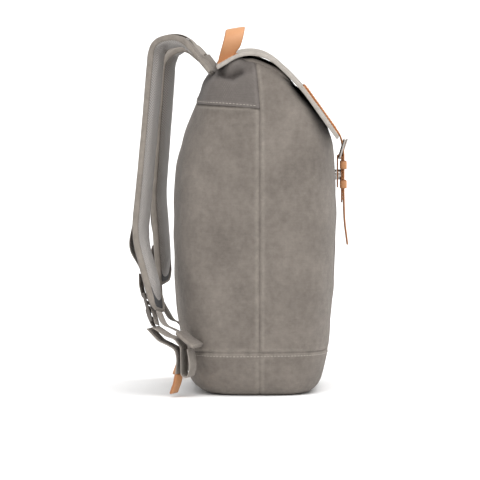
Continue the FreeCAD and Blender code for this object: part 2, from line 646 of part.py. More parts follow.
for name, strap in STRAPS.items():
    side = strap["side"]
    root = Vector(side * size("strap_root"), ROOT_Y, ROOT_Z)
    turn = (Rotation(Vector(0, 1, 0), strap["splay"])
            * Rotation(Vector(0, 0, 1), -size("strap_turn")))
    place = Placement(root - turn.multVec(Vector(0, ROOT_Y, ROOT_Z)), turn)
    line = shortened(strap["line"], end=ROOT_GAP)
    for layer, inner, outer in (("mesh", -STRAP_FACE, -STRAP_PAD), ("foam", -STRAP_PAD, STRAP_PAD),
                                ("cover", STRAP_PAD, STRAP_FACE)):
        shape = band(line, strap["radii"], inner, outer, size("strap_width"))
        node = "strap_%s_%s" % (layer, name)
        subpart(shaped(node, shape, place), node)

    # webbing sewn down the outer face, then the folded end that holds the ladder lock
    lock_out = STRAP_FACE + WEB + 1.1 + size("lock_thick") / 2
    ribbon_line = shortened(strap["line"], start=RIBBON_FOOT, end=RIBBON_HEAD)
    ribbon = band(ribbon_line, strap["radii"], STRAP_FACE, STRAP_FACE + WEB, size("webbing_width"))
    subpart(shaped("ribbon_" + name, ribbon, place), "strap_ribbon_" + name)
    reach = lock_out - STRAP_FACE - WEB / 2
    fold = [beside(strap["line"], RIBBON_FOOT, lock_out - reach),
            beside(strap["line"], PIVOT_HIGH - reach, lock_out - reach),
            beside(strap["line"], PIVOT_HIGH - reach, lock_out + reach),
            beside(strap["line"], RIBBON_FOOT, lock_out + reach)]
    fold_shape = band(fold, [0, reach - 0.05, reach - 0.05, 0], -WEB / 2, WEB / 2,
                      size("webbing_width"))
    subpart(shaped("fold_" + name, fold_shape, place), "strap_loop_" + name)

    # ladder lock, drawn flat with its pivot bar across the origin
    lock = doc.addObject("PartDesign::Body", "lock_" + name)
    lock_outline = sketch_on(lock, "XY_Plane", "lock_outline_" + name)
    add_rectangle(lock_outline, "outside", "sizes.lock_width", "sizes.lock_length",
                  "sizes.lock_bar / 2 - sizes.lock_length")
    gap = "(sizes.lock_length - 4.5 * sizes.lock_bar) / 3"
    for step in range(3):
        low = "-(%d * (%s)) - %s * sizes.lock_bar" % (step + 1, gap, step + 0.5)
        add_rectangle(lock_outline, "slot%d" % step, "sizes.webbing_width + 2", gap, low)
    lock_pad = pad(lock, lock_outline, "lock_pad_" + name, "sizes.lock_thick")
    lock_corners = rounded(lock, lock_pad, "lock_corners_" + name, "sizes.lock_bar * 0.35", is_upright)
    rounded(lock, lock_corners, "lock_rounding_" + name, "sizes.lock_bar * 0.25",
            lambda edge: not is_upright(edge))
    run = unit(strap["line"][0], strap["line"][1])
    pivot = Vector(0, *beside(strap["line"], PIVOT_HIGH, lock_out))
    lock_turn = turn * Rotation(Vector(1, 0, 0), math.degrees(math.atan2(run[1], run[0])))
    lock.Placement = Placement(
        place.multVec(pivot) + lock_turn.multVec(Vector(0, 0, -size("lock_thick") / 2)), lock_turn)
    subpart(lock, "ladder_lock_" + name)
    strap["pivot"] = place.multVec(pivot)
    strap["lock_end"] = place.multVec(Vector(0, *beside(strap["line"], -15.0, lock_out)))

    # short canvas anchor that the strap is sewn to, on the yoke
    anchor_line = [(ROOT_Y - 4.9, ROOT_Z - 6.3), (ROOT_Y + 4.6, ROOT_Z + 5.9)]
    anchor_strip = shaped(
        "anchor_strip_" + name,
        band(anchor_line, [0, 0], -size("strap_cloth"), size("strap_cloth"),
             size("strap_width") - 4), place)
    anchor_cloth = combined("Cut", "anchor_cloth_" + name, anchor_strip, outer_volume)
    subpart(combined("Cut", "anchor_edge_" + name, anchor_cloth, under_the_hinge),
            "strap_anchor_" + name)


# ---------------------------------------------------------------- anchor tabs and adjusting webbing
# Each run is drawn in an upright plane through the ladder lock, as distance back and height.
TAB_Y = BACK - 26
TAB_Z = 60.0
STANDING = [(TAB_Y, TAB_Z), (TAB_Y - 4, TAB_Z - 22), (TAB_Y, TAB_Z - 36), (TAB_Y + 8, TAB_Z - 33),
            (TAB_Y + 8.5, TAB_Z + 2), (TAB_Y + 17, TAB_Z + 12), (TAB_Y + 28, TAB_Z + 15)]
STANDING_RADII = [0, 30, 4.5, 4.5, 8, 12, 15, 0]
HANGING = [(TAB_Y + 38, TAB_Z + 9), (TAB_Y + 26, TAB_Z + 4), (TAB_Y + 16, TAB_Z - 1),
           (TAB_Y + 13.5, TAB_Z - 12), (TAB_Y + 15, TAB_Z - 33)]
HANGING_RADII = [0, 15, 18, 9, 25, 0]
TIP_LINE = [(TAB_Y + 15, TAB_Z - 33), (TAB_Y + 17, TAB_Z - 42), (TAB_Y + 22, TAB_Z - 56)]
TIP_RADII = [0, 15, 0]
TAB_OUTLINE = [(TAB_Y - 6, TAB_Z - 1.5), (TAB_Y + 15, TAB_Z + 13), (TAB_Y + 10, TAB_Z + 24),
               (TAB_Y - 10, TAB_Z + 12)]

for name, strap in STRAPS.items():
    end = strap["lock_end"]
    turn = Rotation(Vector(0, 0, 1), strap["webbing_turn"])
    standing = STANDING + [(TAB_Y + 46, end.z - 2)]
    hanging = [(TAB_Y + 53, end.z - 4)] + HANGING
    drawn_at = Vector(0, standing[-1][0], 0)
    place = Placement(Vector(end.x, end.y - 1.0, 0) - turn.multVec(drawn_at), turn)
    for node, points, radii, half_web in (
            ("webbing_" + name, standing, STANDING_RADII, WEB / 2),
            ("webbing_tail_" + name, hanging, HANGING_RADII, WEB / 2),
            ("tail_tip_" + name, TIP_LINE, TIP_RADII, LEATHER)):
        strip = band(points, radii, -half_web, half_web, size("webbing_width"))
        subpart(shaped(node, strip, place), node)
    tab_face = Part.Face(Part.makePolygon([side_plane(*p) for p in TAB_OUTLINE + TAB_OUTLINE[:1]]))
    tab_face.translate(Vector(-size("tab_width") / 2, 0, 0))
    tab_block = shaped("tab_block_" + name, tab_face.extrude(Vector(size("tab_width"), 0, 0)), place)
    subpart(combined("Cut", "tab_cloth_" + name, tab_block, outer_volume), "anchor_tab_" + name)

# ---------------------------------------------------------------- check and write
doc.recompute()
for item in doc.Objects:
    if "Invalid" in item.State or "Error" in item.State:
        raise RuntimeError("%s failed: %s" % (item.Name, item.State))
os.makedirs("parts", exist_ok=True)
for item in SUBPARTS:
    if item.Shape.isNull() or not item.Shape.isValid():
        raise RuntimeError("%s has no valid shape" % item.Label)
    item.Shape.exportStep("parts/%s.step" % item.Label)
    box = item.Shape.BoundBox
    print("%-20s %2d solid(s) %9.0f mm3  x %6.1f %6.1f  y %6.1f %6.1f  z %6.1f %6.1f" % (
        item.Label, len(item.Shape.Solids), item.Shape.Volume,
        box.XMin, box.XMax, box.YMin, box.YMax, box.ZMin, box.ZMax))
print("pivots: flap", CROWN_LINE[0], "closing strap", PIVOT, "heel bar", (HEEL_Y, HEEL_Z))
for name, strap in STRAPS.items():
    print("pivots:", name, "lock", strap["pivot"], "lock end", strap["lock_end"])
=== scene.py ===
"""A flap-top backpack of washed canvas, with a tan leather closing strap and grab handle and padded
shoulder straps on ladder locks. Metres, +Z up, front towards -Y, the wearer's right towards +X."""
import json
import math

import bmesh
import bpy
from mathutils import Matrix, Vector, noise
from mathutils.kdtree import KDTree

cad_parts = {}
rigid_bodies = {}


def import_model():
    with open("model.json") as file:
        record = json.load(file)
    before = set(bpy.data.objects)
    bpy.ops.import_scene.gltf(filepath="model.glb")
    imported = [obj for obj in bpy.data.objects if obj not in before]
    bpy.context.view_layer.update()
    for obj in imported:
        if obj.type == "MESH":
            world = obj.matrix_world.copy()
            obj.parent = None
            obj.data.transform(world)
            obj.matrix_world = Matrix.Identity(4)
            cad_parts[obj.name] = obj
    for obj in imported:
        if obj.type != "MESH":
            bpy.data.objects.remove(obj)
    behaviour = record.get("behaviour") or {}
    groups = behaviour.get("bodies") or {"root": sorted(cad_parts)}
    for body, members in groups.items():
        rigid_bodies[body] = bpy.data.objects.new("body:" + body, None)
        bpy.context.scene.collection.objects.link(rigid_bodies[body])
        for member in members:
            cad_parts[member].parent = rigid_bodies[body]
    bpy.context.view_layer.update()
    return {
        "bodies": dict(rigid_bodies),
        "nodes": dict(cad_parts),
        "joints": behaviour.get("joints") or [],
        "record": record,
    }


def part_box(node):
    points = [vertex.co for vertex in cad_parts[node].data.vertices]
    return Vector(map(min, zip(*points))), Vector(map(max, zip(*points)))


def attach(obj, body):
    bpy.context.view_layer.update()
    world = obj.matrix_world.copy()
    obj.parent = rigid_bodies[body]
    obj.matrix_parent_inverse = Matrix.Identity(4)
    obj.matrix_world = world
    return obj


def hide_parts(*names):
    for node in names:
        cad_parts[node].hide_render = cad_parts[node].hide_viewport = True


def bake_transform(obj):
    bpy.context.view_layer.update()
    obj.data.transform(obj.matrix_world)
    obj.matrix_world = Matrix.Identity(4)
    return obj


bpy.ops.wm.read_factory_settings(use_empty=True)
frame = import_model()
MM = 0.001


# ---------------------------------------------------------------- studio
# A seamless pale floor, plain white surroundings and two soft lamps: one high over the side of the bag
# that the camera sees and one over its front.
# The lens is long, so that the side of the bag is seen almost without perspective.
def srgb(code):
    """An sRGB hex colour as the linear values that a shader takes."""
    shares = [int(code[place:place + 2], 16) / 255 for place in (1, 3, 5)]
    return [v / 12.92 if v <= 0.04045 else ((v + 0.055) / 1.055) ** 2.4 for v in shares] + [1.0]


def add_node(tree, kind, inputs=None, **settings):
    """A node with its settings, and its inputs as plain values or as links from other outputs."""
    node = tree.nodes.new(kind)
    for name, value in settings.items():
        setattr(node, name, value)
    for name, value in (inputs or {}).items():
        if isinstance(value, bpy.types.NodeSocket):
            tree.links.new(value, node.inputs[name])
        else:
            node.inputs[name].default_value = value
    return node


def new_material(name):
    """An empty material: its node tree and the shader that its nodes feed."""
    material = bpy.data.materials.new(name)
    material.use_nodes = True
    return material, material.node_tree, material.node_tree.nodes["Principled BSDF"]


def new_piece(name, bm, *materials):
    """A smooth-shaded object from a bmesh."""
    mesh = bpy.data.meshes.new(name)
    for face in bm.faces:
        face.smooth = True
    bm.to_mesh(mesh)
    bm.free()
    piece = bpy.data.objects.new(name, mesh)
    bpy.context.scene.collection.objects.link(piece)
    for material in materials:
        mesh.materials.append(material)
    return piece


def matt_paper():
    """Matt backdrop paper: pale and faintly uneven, no gloss."""
    material, tree, shader = new_material("matt_studio_paper")
    place = add_node(tree, "ShaderNodeTexCoord")
    grain = add_node(tree, "ShaderNodeTexNoise", {"Vector": place.outputs["Object"], "Scale": 3.0})
    tone = add_node(tree, "ShaderNodeMix", {0: grain.outputs["Fac"], 6: srgb("#F6F6F6"), 7: srgb("#F9F9F9")},
                    data_type="RGBA")
    tree.links.new(tone.outputs[2], shader.inputs["Base Color"])
    shader.inputs["Roughness"].default_value = 0.75
    shader.inputs["Specular IOR Level"].default_value = 0.2
    return material


FLOOR_REACH = 120.0
bm = bmesh.new()
bmesh.ops.create_grid(bm, x_segments=4, y_segments=4, size=FLOOR_REACH)
new_piece("floor", bm, matt_paper())

world = bpy.data.worlds.new("studio")
world.use_nodes = True
world.node_tree.nodes["Background"].inputs["Color"].default_value = srgb("#FFFFFF")
world.node_tree.nodes["Background"].inputs["Strength"].default_value = 0.78
bpy.context.scene.world = world


def soft_lamp(name, strength, spread, towards):
    """A distant lamp in a direction from the bag; spread is how wide it looks, in degrees."""
    lamp = bpy.data.lights.new(name, "SUN")
    lamp.energy = strength
    lamp.angle = math.radians(spread)
    holder = bpy.data.objects.new(name, lamp)
    holder.rotation_euler = Vector(towards).to_track_quat("Z", "Y").to_euler()
    bpy.context.scene.collection.objects.link(holder)


soft_lamp("broad_lamp", 1.9, 40, (-0.55, 0.05, 1.0))
soft_lamp("top_lamp", 1.3, 50, (0.1, -0.55, 1.0))

AIM = Vector((0.0, 0.01875, 0.185))
CAMERA_DISTANCE = 6.0
CAMERA_RISE = math.radians(3.3)
camera_data = bpy.data.cameras.new("camera")
camera_data.lens = 360
camera_data.sensor_width = 36
camera_data.clip_end = 500
camera = bpy.data.objects.new("camera", camera_data)
view_back = Vector((-math.cos(CAMERA_RISE), 0, math.sin(CAMERA_RISE)))
camera.location = AIM + CAMERA_DISTANCE * view_back
camera.rotation_euler = view_back.to_track_quat("Z", "Y").to_euler()
bpy.context.scene.collection.objects.link(camera)
bpy.context.scene.camera = camera
bpy.context.scene.view_settings.view_transform = "Standard"


# ---------------------------------------------------------------- canvas bag
# Sixteen-ounce cotton canvas, washed after sewing, so that it is soft, mottled and paler on its seams.
# A front panel, a back panel, a ribbed yoke and a base band are sewn edge to edge, seams turned in.
def washed_canvas(name, dark, middle, pale, thread, rib=1.0, sheen=0.1):
    """Plain-weave cotton cloth. thread is the pitch of its yarns and rib how much thicker the weft is."""
    material, tree, shader = new_material(name)
    place = add_node(tree, "ShaderNodeTexCoord")
    cloth = add_node(tree, "ShaderNodeUVMap", uv_map="cloth")
    cloud = add_node(tree, "ShaderNodeTexNoise", {"Vector": place.outputs["Object"], "Scale": 16.0,
                                                 "Detail": 3.0, "Roughness": 0.5})
    mottle = add_node(tree, "ShaderNodeTexNoise", {"Vector": place.outputs["Object"], "Scale": 130.0,
                                                  "Detail": 5.0, "Roughness": 0.7})
    slub_scale = add_node(tree, "ShaderNodeMapping", {"Vector": cloth.outputs["UV"], "Scale": (60, 520, 1)})
    slub = add_node(tree, "ShaderNodeTexNoise", {"Vector": slub_scale.outputs["Vector"], "Scale": 1.0,
                                                "Detail": 3.0, "Roughness": 0.6})
    # a wave repeats every pi / 10 over its scale
    warp = add_node(tree, "ShaderNodeTexWave", {"Vector": cloth.outputs["UV"], "Scale": math.pi / 10 / thread,
                                                "Distortion": 0.25, "Detail": 1.0}, bands_direction="X")
    weft = add_node(tree, "ShaderNodeTexWave", {"Vector": cloth.outputs["UV"],
                                                "Scale": math.pi / 10 / (thread * rib),
                                                "Distortion": 0.25, "Detail": 1.0}, bands_direction="Y")
    lift = add_node(tree, "ShaderNodeMath", {0: warp.outputs["Fac"], 1: weft.outputs["Fac"]},
                    operation="SUBTRACT")
    weave = add_node(tree, "ShaderNodeMath", {0: lift.outputs[0]}, operation="ABSOLUTE")
    wash = add_node(tree, "ShaderNodeMath", {0: cloud.outputs["Fac"], 1: mottle.outputs["Fac"]},
                    operation="ADD")
    wash_ramp = add_node(tree, "ShaderNodeMapRange", {"Value": wash.outputs[0], "From Min": 0.55,
                                                      "From Max": 1.45})
    body_tone = add_node(tree, "ShaderNodeMix", {0: wash_ramp.outputs[0], 6: srgb(dark), 7: srgb(middle)},
                         data_type="RGBA")
    wear = add_node(tree, "ShaderNodeAttribute", attribute_name="wear")
    rubbed = add_node(tree, "ShaderNodeMath", {0: wear.outputs["Fac"], 1: mottle.outputs["Fac"]},
                      operation="MULTIPLY", use_clamp=True)
    worn_tone = add_node(tree, "ShaderNodeMix", {0: rubbed.outputs[0], 6: body_tone.outputs[2],
                                                 7: srgb(pale)}, data_type="RGBA")
    yarn = add_node(tree, "ShaderNodeMath", {0: weave.outputs[0], 1: slub.outputs["Fac"]},
                    operation="MULTIPLY")
    yarn_shade = add_node(tree, "ShaderNodeMapRange", {"Value": yarn.outputs[0], "From Min": 0.0,
                                                       "From Max": 0.5, "To Min": 0.86, "To Max": 1.06})
    tone = add_node(tree, "ShaderNodeVectorMath", {0: worn_tone.outputs[2], 1: yarn_shade.outputs[0]},
                    operation="MULTIPLY")
    relief = add_node(tree, "ShaderNodeMath", {0: yarn.outputs[0], 1: mottle.outputs["Fac"]}, operation="ADD")
    bump = add_node(tree, "ShaderNodeBump", {"Height": relief.outputs[0], "Strength": 0.55,
                                             "Distance": 0.0007})
    tree.links.new(tone.outputs[0], shader.inputs["Base Color"])
    tree.links.new(bump.outputs[0], shader.inputs["Normal"])
    shader.inputs["Roughness"].default_value = 0.92
    shader.inputs["Specular IOR Level"].default_value = 0.15
    shader.inputs["Sheen Weight"].default_value = sheen
    shader.inputs["Sheen Roughness"].default_value = 0.5
    return material


# The yarn is drawn at 1.5 mm, about twice its real pitch, so that the weave can be seen.
CANVAS = washed_canvas("washed_cotton_canvas", "#665F59", "#8A827A", "#AAA298", 1.5 * MM)
RIBBED = washed_canvas("ribbed_cotton_canvas", "#5E5854", "#736D69", "#928B86", 1.6 * MM, rib=3.0)

# Rings of the bag from its foot to its mouth: the middle of the front, the middle of the back, half the
# width, and how much higher the sides stand than a straight line from front to back.
RINGS = [
    ((-30, 0), (26, 0), 74, 0), ((-56, 0), (51, 0), 100, 0), ((-70, 2), (66, 2.5), 114, 0),
    ((-80, 12), (79, 13), 124, 0), ((-86, 30), (86, 32), 130, 0), ((-91, 54), (91, 54), 135, 0),
    ((-96, 98), (97, 100), 140, 0), ((-99.5, 150), (100, 150), 144, 0), ((-100, 210), (100, 215), 145, 0),
    ((-100, 270), (98.5, 270), 143.5, 0), ((-98.5, 305), (90, 308), 140, 0),
    ((-90, 328), (81, 335), 137, 1), ((-78, 346), (73.5, 358), 134, 2), ((-66.5, 359), (69, 372), 131, 5),
    ((-59, 367), (62, 387), 128, 8), ((-53, 373), (48, 399), 125, 10),
    ((-48, 377.5), (34, 406), 121, 12), ((-45, 381), (22, 408.5), 119, 12),
]
FOOT_RING = 1.6
BASE_RING = 5.0
YOKE_RING = 12.0
RIM_RING = 17.0
FOOT_SQUARENESS = 3.6
MOUTH_SQUARENESS = 6.5


def smooth_between(values, position):
    """A smooth curve through evenly spaced values."""
    first = min(int(position), len(values) - 2)
    share = position - first
    before, low, high, after = (values[min(max(first + step, 0), len(values) - 1)] for step in (-1, 0, 1, 2))
    return 0.5 * (2 * low + (high - before) * share + (2 * before - 5 * low + 4 * high - after) * share ** 2
                  + (3 * low - before - 3 * high + after) * share ** 3)


RING_VALUES = list(zip(*[(front[0], front[1], back[0], back[1], half, lift)
                         for front, back, half, lift in RINGS]))


def bag_point(angle, ring, inset=0.0):
    """A point of the bag's wall in millimetres. The angle goes round from the wearer's right (0) to the
    back (90 degrees), the wearer's left (180) and the front (270)."""
    front, front_z, back, back_z, half, lift = (smooth_between(column, ring) for column in RING_VALUES)
    half -= inset
    depth = (back - front) / 2 - inset
    near_mouth = min(1.0, max(0.0, (ring - YOKE_RING + 1) / (RIM_RING - YOKE_RING)))
    power = FOOT_SQUARENESS + (MOUTH_SQUARENESS - FOOT_SQUARENESS) * near_mouth
    reach = ((abs(math.cos(angle)) / half) ** power
             + (abs(math.sin(angle)) / depth) ** power) ** (-1 / power)
    x = reach * math.cos(angle)
    y = reach * math.sin(angle)
    share = (y + depth) / (2 * depth)
    z = front_z + (back_z - front_z) * share + lift * (1 - abs(2 * share - 1) ** 3)
    return Vector((x, (front + back) / 2 + y, z))


SEAM_Y = -5.5
SEAM_LEAN = 6.0


def seam_angle(ring, side):
    """Where the side seam crosses a ring: the seam leans back a little near the mouth."""
    front, back, half = (smooth_between(RING_VALUES[column], ring) for column in (0, 2, 4))
    seam_y = SEAM_Y + SEAM_LEAN * max(0.0, (ring - YOKE_RING) / (RIM_RING - YOKE_RING))
    lean = math.asin((seam_y - (front + back) / 2) / half)
    return lean if side > 0 else math.pi - lean


def stroke(y, z, line, width):
    """1 on a line drawn on the side of the bag, fading to 0 about a width away."""
    nearest = 1e9
    for start, end in zip(line, line[1:]):
        run = Vector(end) - Vector(start)
        share = min(max((Vector((y, z)) - Vector(start)).dot(run) / run.length_squared, 0), 1)
        nearest = min(nearest, (Vector((y, z)) - Vector(start) - share * run).length)
    return math.exp(-(nearest / width) ** 2)


# Folds that the soft cloth keeps on each side: their line as (back, up), width and height.
FOLDS = [
    ([(48, 404), (38, 396), (28, 393), (18, 399)], 5.5, -12.0),
    ([(40, 411), (28, 409), (14, 411)], 7.0, 6.0),
    ([(12, 412), (8, 402)], 5.0, -5.0),
    ([(62, 346), (35, 341), (8, 349)], 7.0, -2.6),
    ([(66, 330), (30, 322), (4, 334)], 11.0, 2.0),
    ([(84, 300), (60, 268), (30, 255)], 12.0, -2.2),
    ([(88, 250), (66, 214), (34, 196)], 14.0, 1.8),
    ([(60, 160), (20, 138), (-20, 140)], 16.0, -2.0),
    ([(-24, 300), (-60, 262)], 14.0, -1.6),
    ([(-30, 200), (-70, 150)], 16.0, -1.8),
    ([(70, 92), (40, 66), (14, 60)], 8.0, -1.6),
    ([(76, 44), (56, 22), (34, 14)], 6.0, -2.2),
    ([(-20, 46), (-56, 26)], 10.0, -1.4),
]


def bag_surface(angle, ring, inset=0.0):
    """The wall with its folds, sags and ripples."""
    point = bag_point(angle, ring, inset)
    step = 0.01
    across = bag_point(angle + step, ring, inset) - bag_point(angle - step, ring, inset)
    upward = bag_point(angle, min(ring + step, RIM_RING), inset) - bag_point(angle, ring - step, inset)
    outwards = across.cross(upward).normalized()
    sideways = min(1.0, max(0.0, (abs(point.x) - 95) / 30))
    height = 0.0
    if sideways:
        height = sideways * sum(depth * stroke(point.y, point.z, line, width) for line, width, depth in FOLDS)
    above_foot = min(1.0, max(0.0, point.z / 40))
    ripple = noise.noise(point * 0.012 + Vector((3, 1, 0))) * 3.2 + noise.noise(point * 0.035) * 1.3
    height += ripple * above_foot * (0.35 if ring > RIM_RING - 1.5 else 1.0)
    return point + outwards * height, outwards


def cloth_grid(name, columns, rows, place, material, wall=0.0, closed=False):
    """A cloth panel: a grid whose points are placed by a function of (across, up), each from 0 to 1, that
    gives the point and its amount of wear. The real lengths are kept as a map for the weave."""
    bm = bmesh.new()
    uv = bm.loops.layers.uv.new("cloth")
    wear = bm.verts.layers.float.new("wear")
    bmesh.ops.create_grid(bm, x_segments=columns, y_segments=rows, size=0.5)
    shares = {}
    points = {}
    for vertex in bm.verts:
        across, up = vertex.co.x + 0.5, vertex.co.y + 0.5
        key = (round(across * columns), round(up * rows))
        shares[vertex] = key
        position, vertex[wear] = place(across, up)
        vertex.co = position * MM
        points[key] = vertex.co.copy()
    middle_row, middle_column = rows // 2, columns // 2
    run_across = [0.0]
    for column in range(1, columns + 1):
        run_across.append(run_across[-1] + (points[(column, middle_row)]
                                            - points[(column - 1, middle_row)]).length)
    run_up = [0.0]
    for row in range(1, rows + 1):
        run_up.append(run_up[-1] + (points[(middle_column, row)] - points[(middle_column, row - 1)]).length)
    for face in bm.faces:
        for loop in face.loops:
            column, row = shares[loop.vert]
            loop[uv].uv = (run_across[column], run_up[row])
    if closed:
        bmesh.ops.remove_doubles(bm, verts=bm.verts, dist=0.00002)
    piece = new_piece(name, bm, material)
    if wall:
        thickness = piece.modifiers.new("cloth_wall", "SOLIDIFY")
        thickness.thickness = wall * MM
        thickness.offset = -1
    return piece


def crowded(share, amount=0.6):
    """Shares from 0 to 1 that lie closer together at both ends, where a panel's edge turns in."""
    return share - amount * math.sin(2 * math.pi * share) / (2 * math.pi)


SEAM_DEPTH = 1.7
SEAM_WIDTH = 2.4
MEAN_RADIUS = 130
CLOTH_WALL = 2.0
NO_SEAM = 99


def panel(name, low_ring, high_ring, start_angle, end_angle, material, columns, rows, low_seam=True,
          high_seam=True, side_seams=True, overlap=0.0):
    """A panel of the bag between two rings and two seams, with its sewn edges turned in."""
    def place(across, up):
        ring = low_ring + (high_ring - low_ring) * crowded(up)
        start, end = start_angle(ring), end_angle(ring)
        angle = start + (end - start) * crowded(across)
        point, outwards = bag_surface(angle, ring)
        around = 0.5 * (end - start) * MEAN_RADIUS
        from_side = min(crowded(across), 1 - crowded(across)) * 2 * around
        turned = 0.0
        if side_seams:
            turned += math.exp(-(from_side / SEAM_WIDTH) ** 2)
        low_gap = (point - bag_point(angle, low_ring)).length
        high_gap = (point - bag_point(angle, high_ring)).length
        if low_seam:
            turned += math.exp(-(low_gap / SEAM_WIDTH) ** 2) * (0.2 if overlap else 1.0)
        if high_seam:
            turned += math.exp(-(high_gap / SEAM_WIDTH) ** 2)
        lap = overlap * math.exp(-(low_gap / 7.0) ** 2)
        edge = min(from_side if side_seams else NO_SEAM, low_gap if low_seam else NO_SEAM,
                   high_gap if high_seam else NO_SEAM)
        rubbed = 0.45 * math.exp(-((edge - 3.2) / 2.4) ** 2)
        return point + outwards * (lap - SEAM_DEPTH * min(turned, 1.3)), rubbed
    return cloth_grid(name, columns, rows, place, material, wall=CLOTH_WALL)


def left_seam(ring):
    return seam_angle(ring, -1)


def right_seam(ring):
    return seam_angle(ring, 1)


def right_seam_round(ring):
    return seam_angle(ring, 1) + 2 * math.pi


front_panel = panel("front_panel", BASE_RING, RIM_RING, left_seam, right_seam_round, CANVAS, 190, 140,
                    high_seam=False)
back_panel = panel("back_panel", BASE_RING, YOKE_RING, right_seam, left_seam, CANVAS, 190, 110)
back_yoke = panel("back_yoke", YOKE_RING, RIM_RING, right_seam, left_seam, RIBBED, 190, 60,
                  high_seam=False, overlap=1.0)
for piece, node in ((front_panel, "front_panel"), (back_panel, "back_panel"), (back_yoke, "back_yoke")):
    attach(piece, "bag")
    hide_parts(node)


# ---------------------------------------------------------------- base band, bottom, lining, rim
# The foot of the bag is a separate band of the same canvas round an oval bottom. Inside hangs a plain
# grey lining, and the rim of the mouth is bound with a folded strip of the canvas.
def base_place(across, up):
    ring = FOOT_RING + (BASE_RING - FOOT_RING) * crowded(up)
    angle = seam_angle(ring, -1) + 2 * math.pi * across
    point, outwards = bag_surface(angle, ring)
    from_top = (point - bag_point(angle, BASE_RING)).length
    from_side = abs(point.y - bag_point(seam_angle(ring, 1), ring).y) if abs(point.x) > 90 else NO_SEAM
    turned = math.exp(-(from_top / SEAM_WIDTH) ** 2) + 0.9 * math.exp(-(from_side / SEAM_WIDTH) ** 2)
    edge = min(from_top, from_side)
    rubbed = 0.45 * math.exp(-((edge - 3.2) / 2.4) ** 2) + 0.4 * math.exp(-(point.z / 6) ** 2)
    return point - outwards * SEAM_DEPTH * min(turned, 1.3), rubbed


base_band = cloth_grid("base_band", 360, 32, base_place, CANVAS, wall=CLOTH_WALL, closed=True)


FLOOR_MIDDLE = Vector((0, -2, 0))


def bottom_place(across, up):
    angle = -2 * math.pi * across
    outer = bag_point(angle, FOOT_RING * max(0.0, 1 - 1.5 * up))
    spread = 1.0 if up < 2 / 3 else 3 * (1 - up)
    point = FLOOR_MIDDLE + (outer - FLOOR_MIDDLE) * spread
    point.z = max(point.z, 0.0) + 1.2 * math.exp(-((up - 0.62) / 0.03) ** 2)
    return point, 0.4 * (1 - up)


bottom_panel = cloth_grid("bottom_panel", 160, 36, bottom_place, CANVAS, wall=CLOTH_WALL, closed=True)

LINING = washed_canvas("plain_grey_lining", "#4B4846", "#5E5A57", "#6E6A66", 1.0 * MM, sheen=0.0)


def lining_place(across, up):
    ring = RIM_RING * (up * 1.12 - 0.12) if up > 0.12 else 0.0
    angle = 2 * math.pi * across
    point, _ = bag_surface(angle, max(ring, 0.0), inset=4.2)
    spread = min(1.0, up / 0.12)
    point = FLOOR_MIDDLE + (point - FLOOR_MIDDLE) * spread
    point.z = max(point.z, 2.6)
    return point, 0.0


lining = cloth_grid("lining", 150, 110, lining_place, LINING, wall=0.8, closed=True)

BINDING_OUT = 3.4
BINDING_TALL = 6.5


def squarer(value, power):
    """A sine or cosine raised to a power with its sign kept, which makes a round section squarer."""
    return math.copysign(abs(value) ** power, value)


def binding_place(across, up):
    angle = seam_angle(RIM_RING, -1) + 2 * math.pi * across
    rim, outwards = bag_surface(angle, RIM_RING)
    lower, _ = bag_surface(angle, RIM_RING - 0.1)
    upward = (rim - lower).normalized()
    turn = 2 * math.pi * up
    out = squarer(math.cos(turn), 0.6) * BINDING_OUT
    tall = squarer(math.sin(turn), 0.6) * BINDING_TALL / 2
    return rim + outwards * (out - 1.8) + upward * tall, 0.6 * max(0.0, math.sin(turn))


mouth_binding = cloth_grid("mouth_binding", 300, 16, binding_place, CANVAS, closed=True)

for piece, node, finish in ((base_band, "base_band", "canvas"), (bottom_panel, "bottom_panel", "canvas"),
                            (lining, "lining", "lining_cloth"), (mouth_binding, "mouth_binding", "canvas")):
    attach(piece, "bag")
    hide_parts(node)


# ---------------------------------------------------------------- flap
# One piece of the canvas over a plain facing, bound all round and sewn to the back of the mouth. It lies
# over the mouth and falls forward in a long slope, and its side edges stand up a little near the root.
def rounded_line(points, radii, step=1.0):
    """Points about a step apart along straight runs that are joined by round bends."""
    line = [Vector(points[0])]
    for before, corner, after, radius in zip(points, points[1:], points[2:], radii[1:]):
        corner = Vector(corner)
        back = (Vector(before) - corner).normalized()
        onward = (Vector(after) - corner).normalized()
        turn = math.pi - back.angle(onward)
        reach = radius * math.tan(turn / 2)
        pieces = max(2, int(radius * turn / step))
        for number in range(pieces + 1):
            share = number / pieces
            line.append(corner + back * reach * (1 - share) ** 2 + onward * reach * share ** 2)
    line.append(Vector(points[-1]))
    return line


def along_line(line):
    """A line's length, and a function of distance along it that gives the point and the direction."""
    runs = [(end - start).length for start, end in zip(line, line[1:])]
    length = sum(runs)

    def at(distance):
        left = min(max(distance, 0.0), length - 1e-6)
        number = 0
        while left > runs[number]:
            left -= runs[number]
            number += 1
        point = line[number].lerp(line[number + 1], left / runs[number])
        ahead = line[min(number + 2, len(line) - 1)] - line[max(number - 1, 0)]
        return point, ahead.normalized()
    return length, at


def beside(ahead):
    """The direction out of the outer face of a strip that runs this way."""
    return Vector((ahead.y, -ahead.x))


CROWN_LINE = [(46, 401), (21, 414.5), (-12, 414.5), (-50, 385), (-100.5, 314.5)]
CROWN_RADII = [0, 40, 60, 150, 0]
flap_length, flap_at = along_line(rounded_line(CROWN_LINE, CROWN_RADII))
FLAP_HALF = 126.0
FLAP_CORNER = 24.0
FLAP_FACING = 1.2
FLAP_TOP = 2.8
PATCH_TOP = 4.6


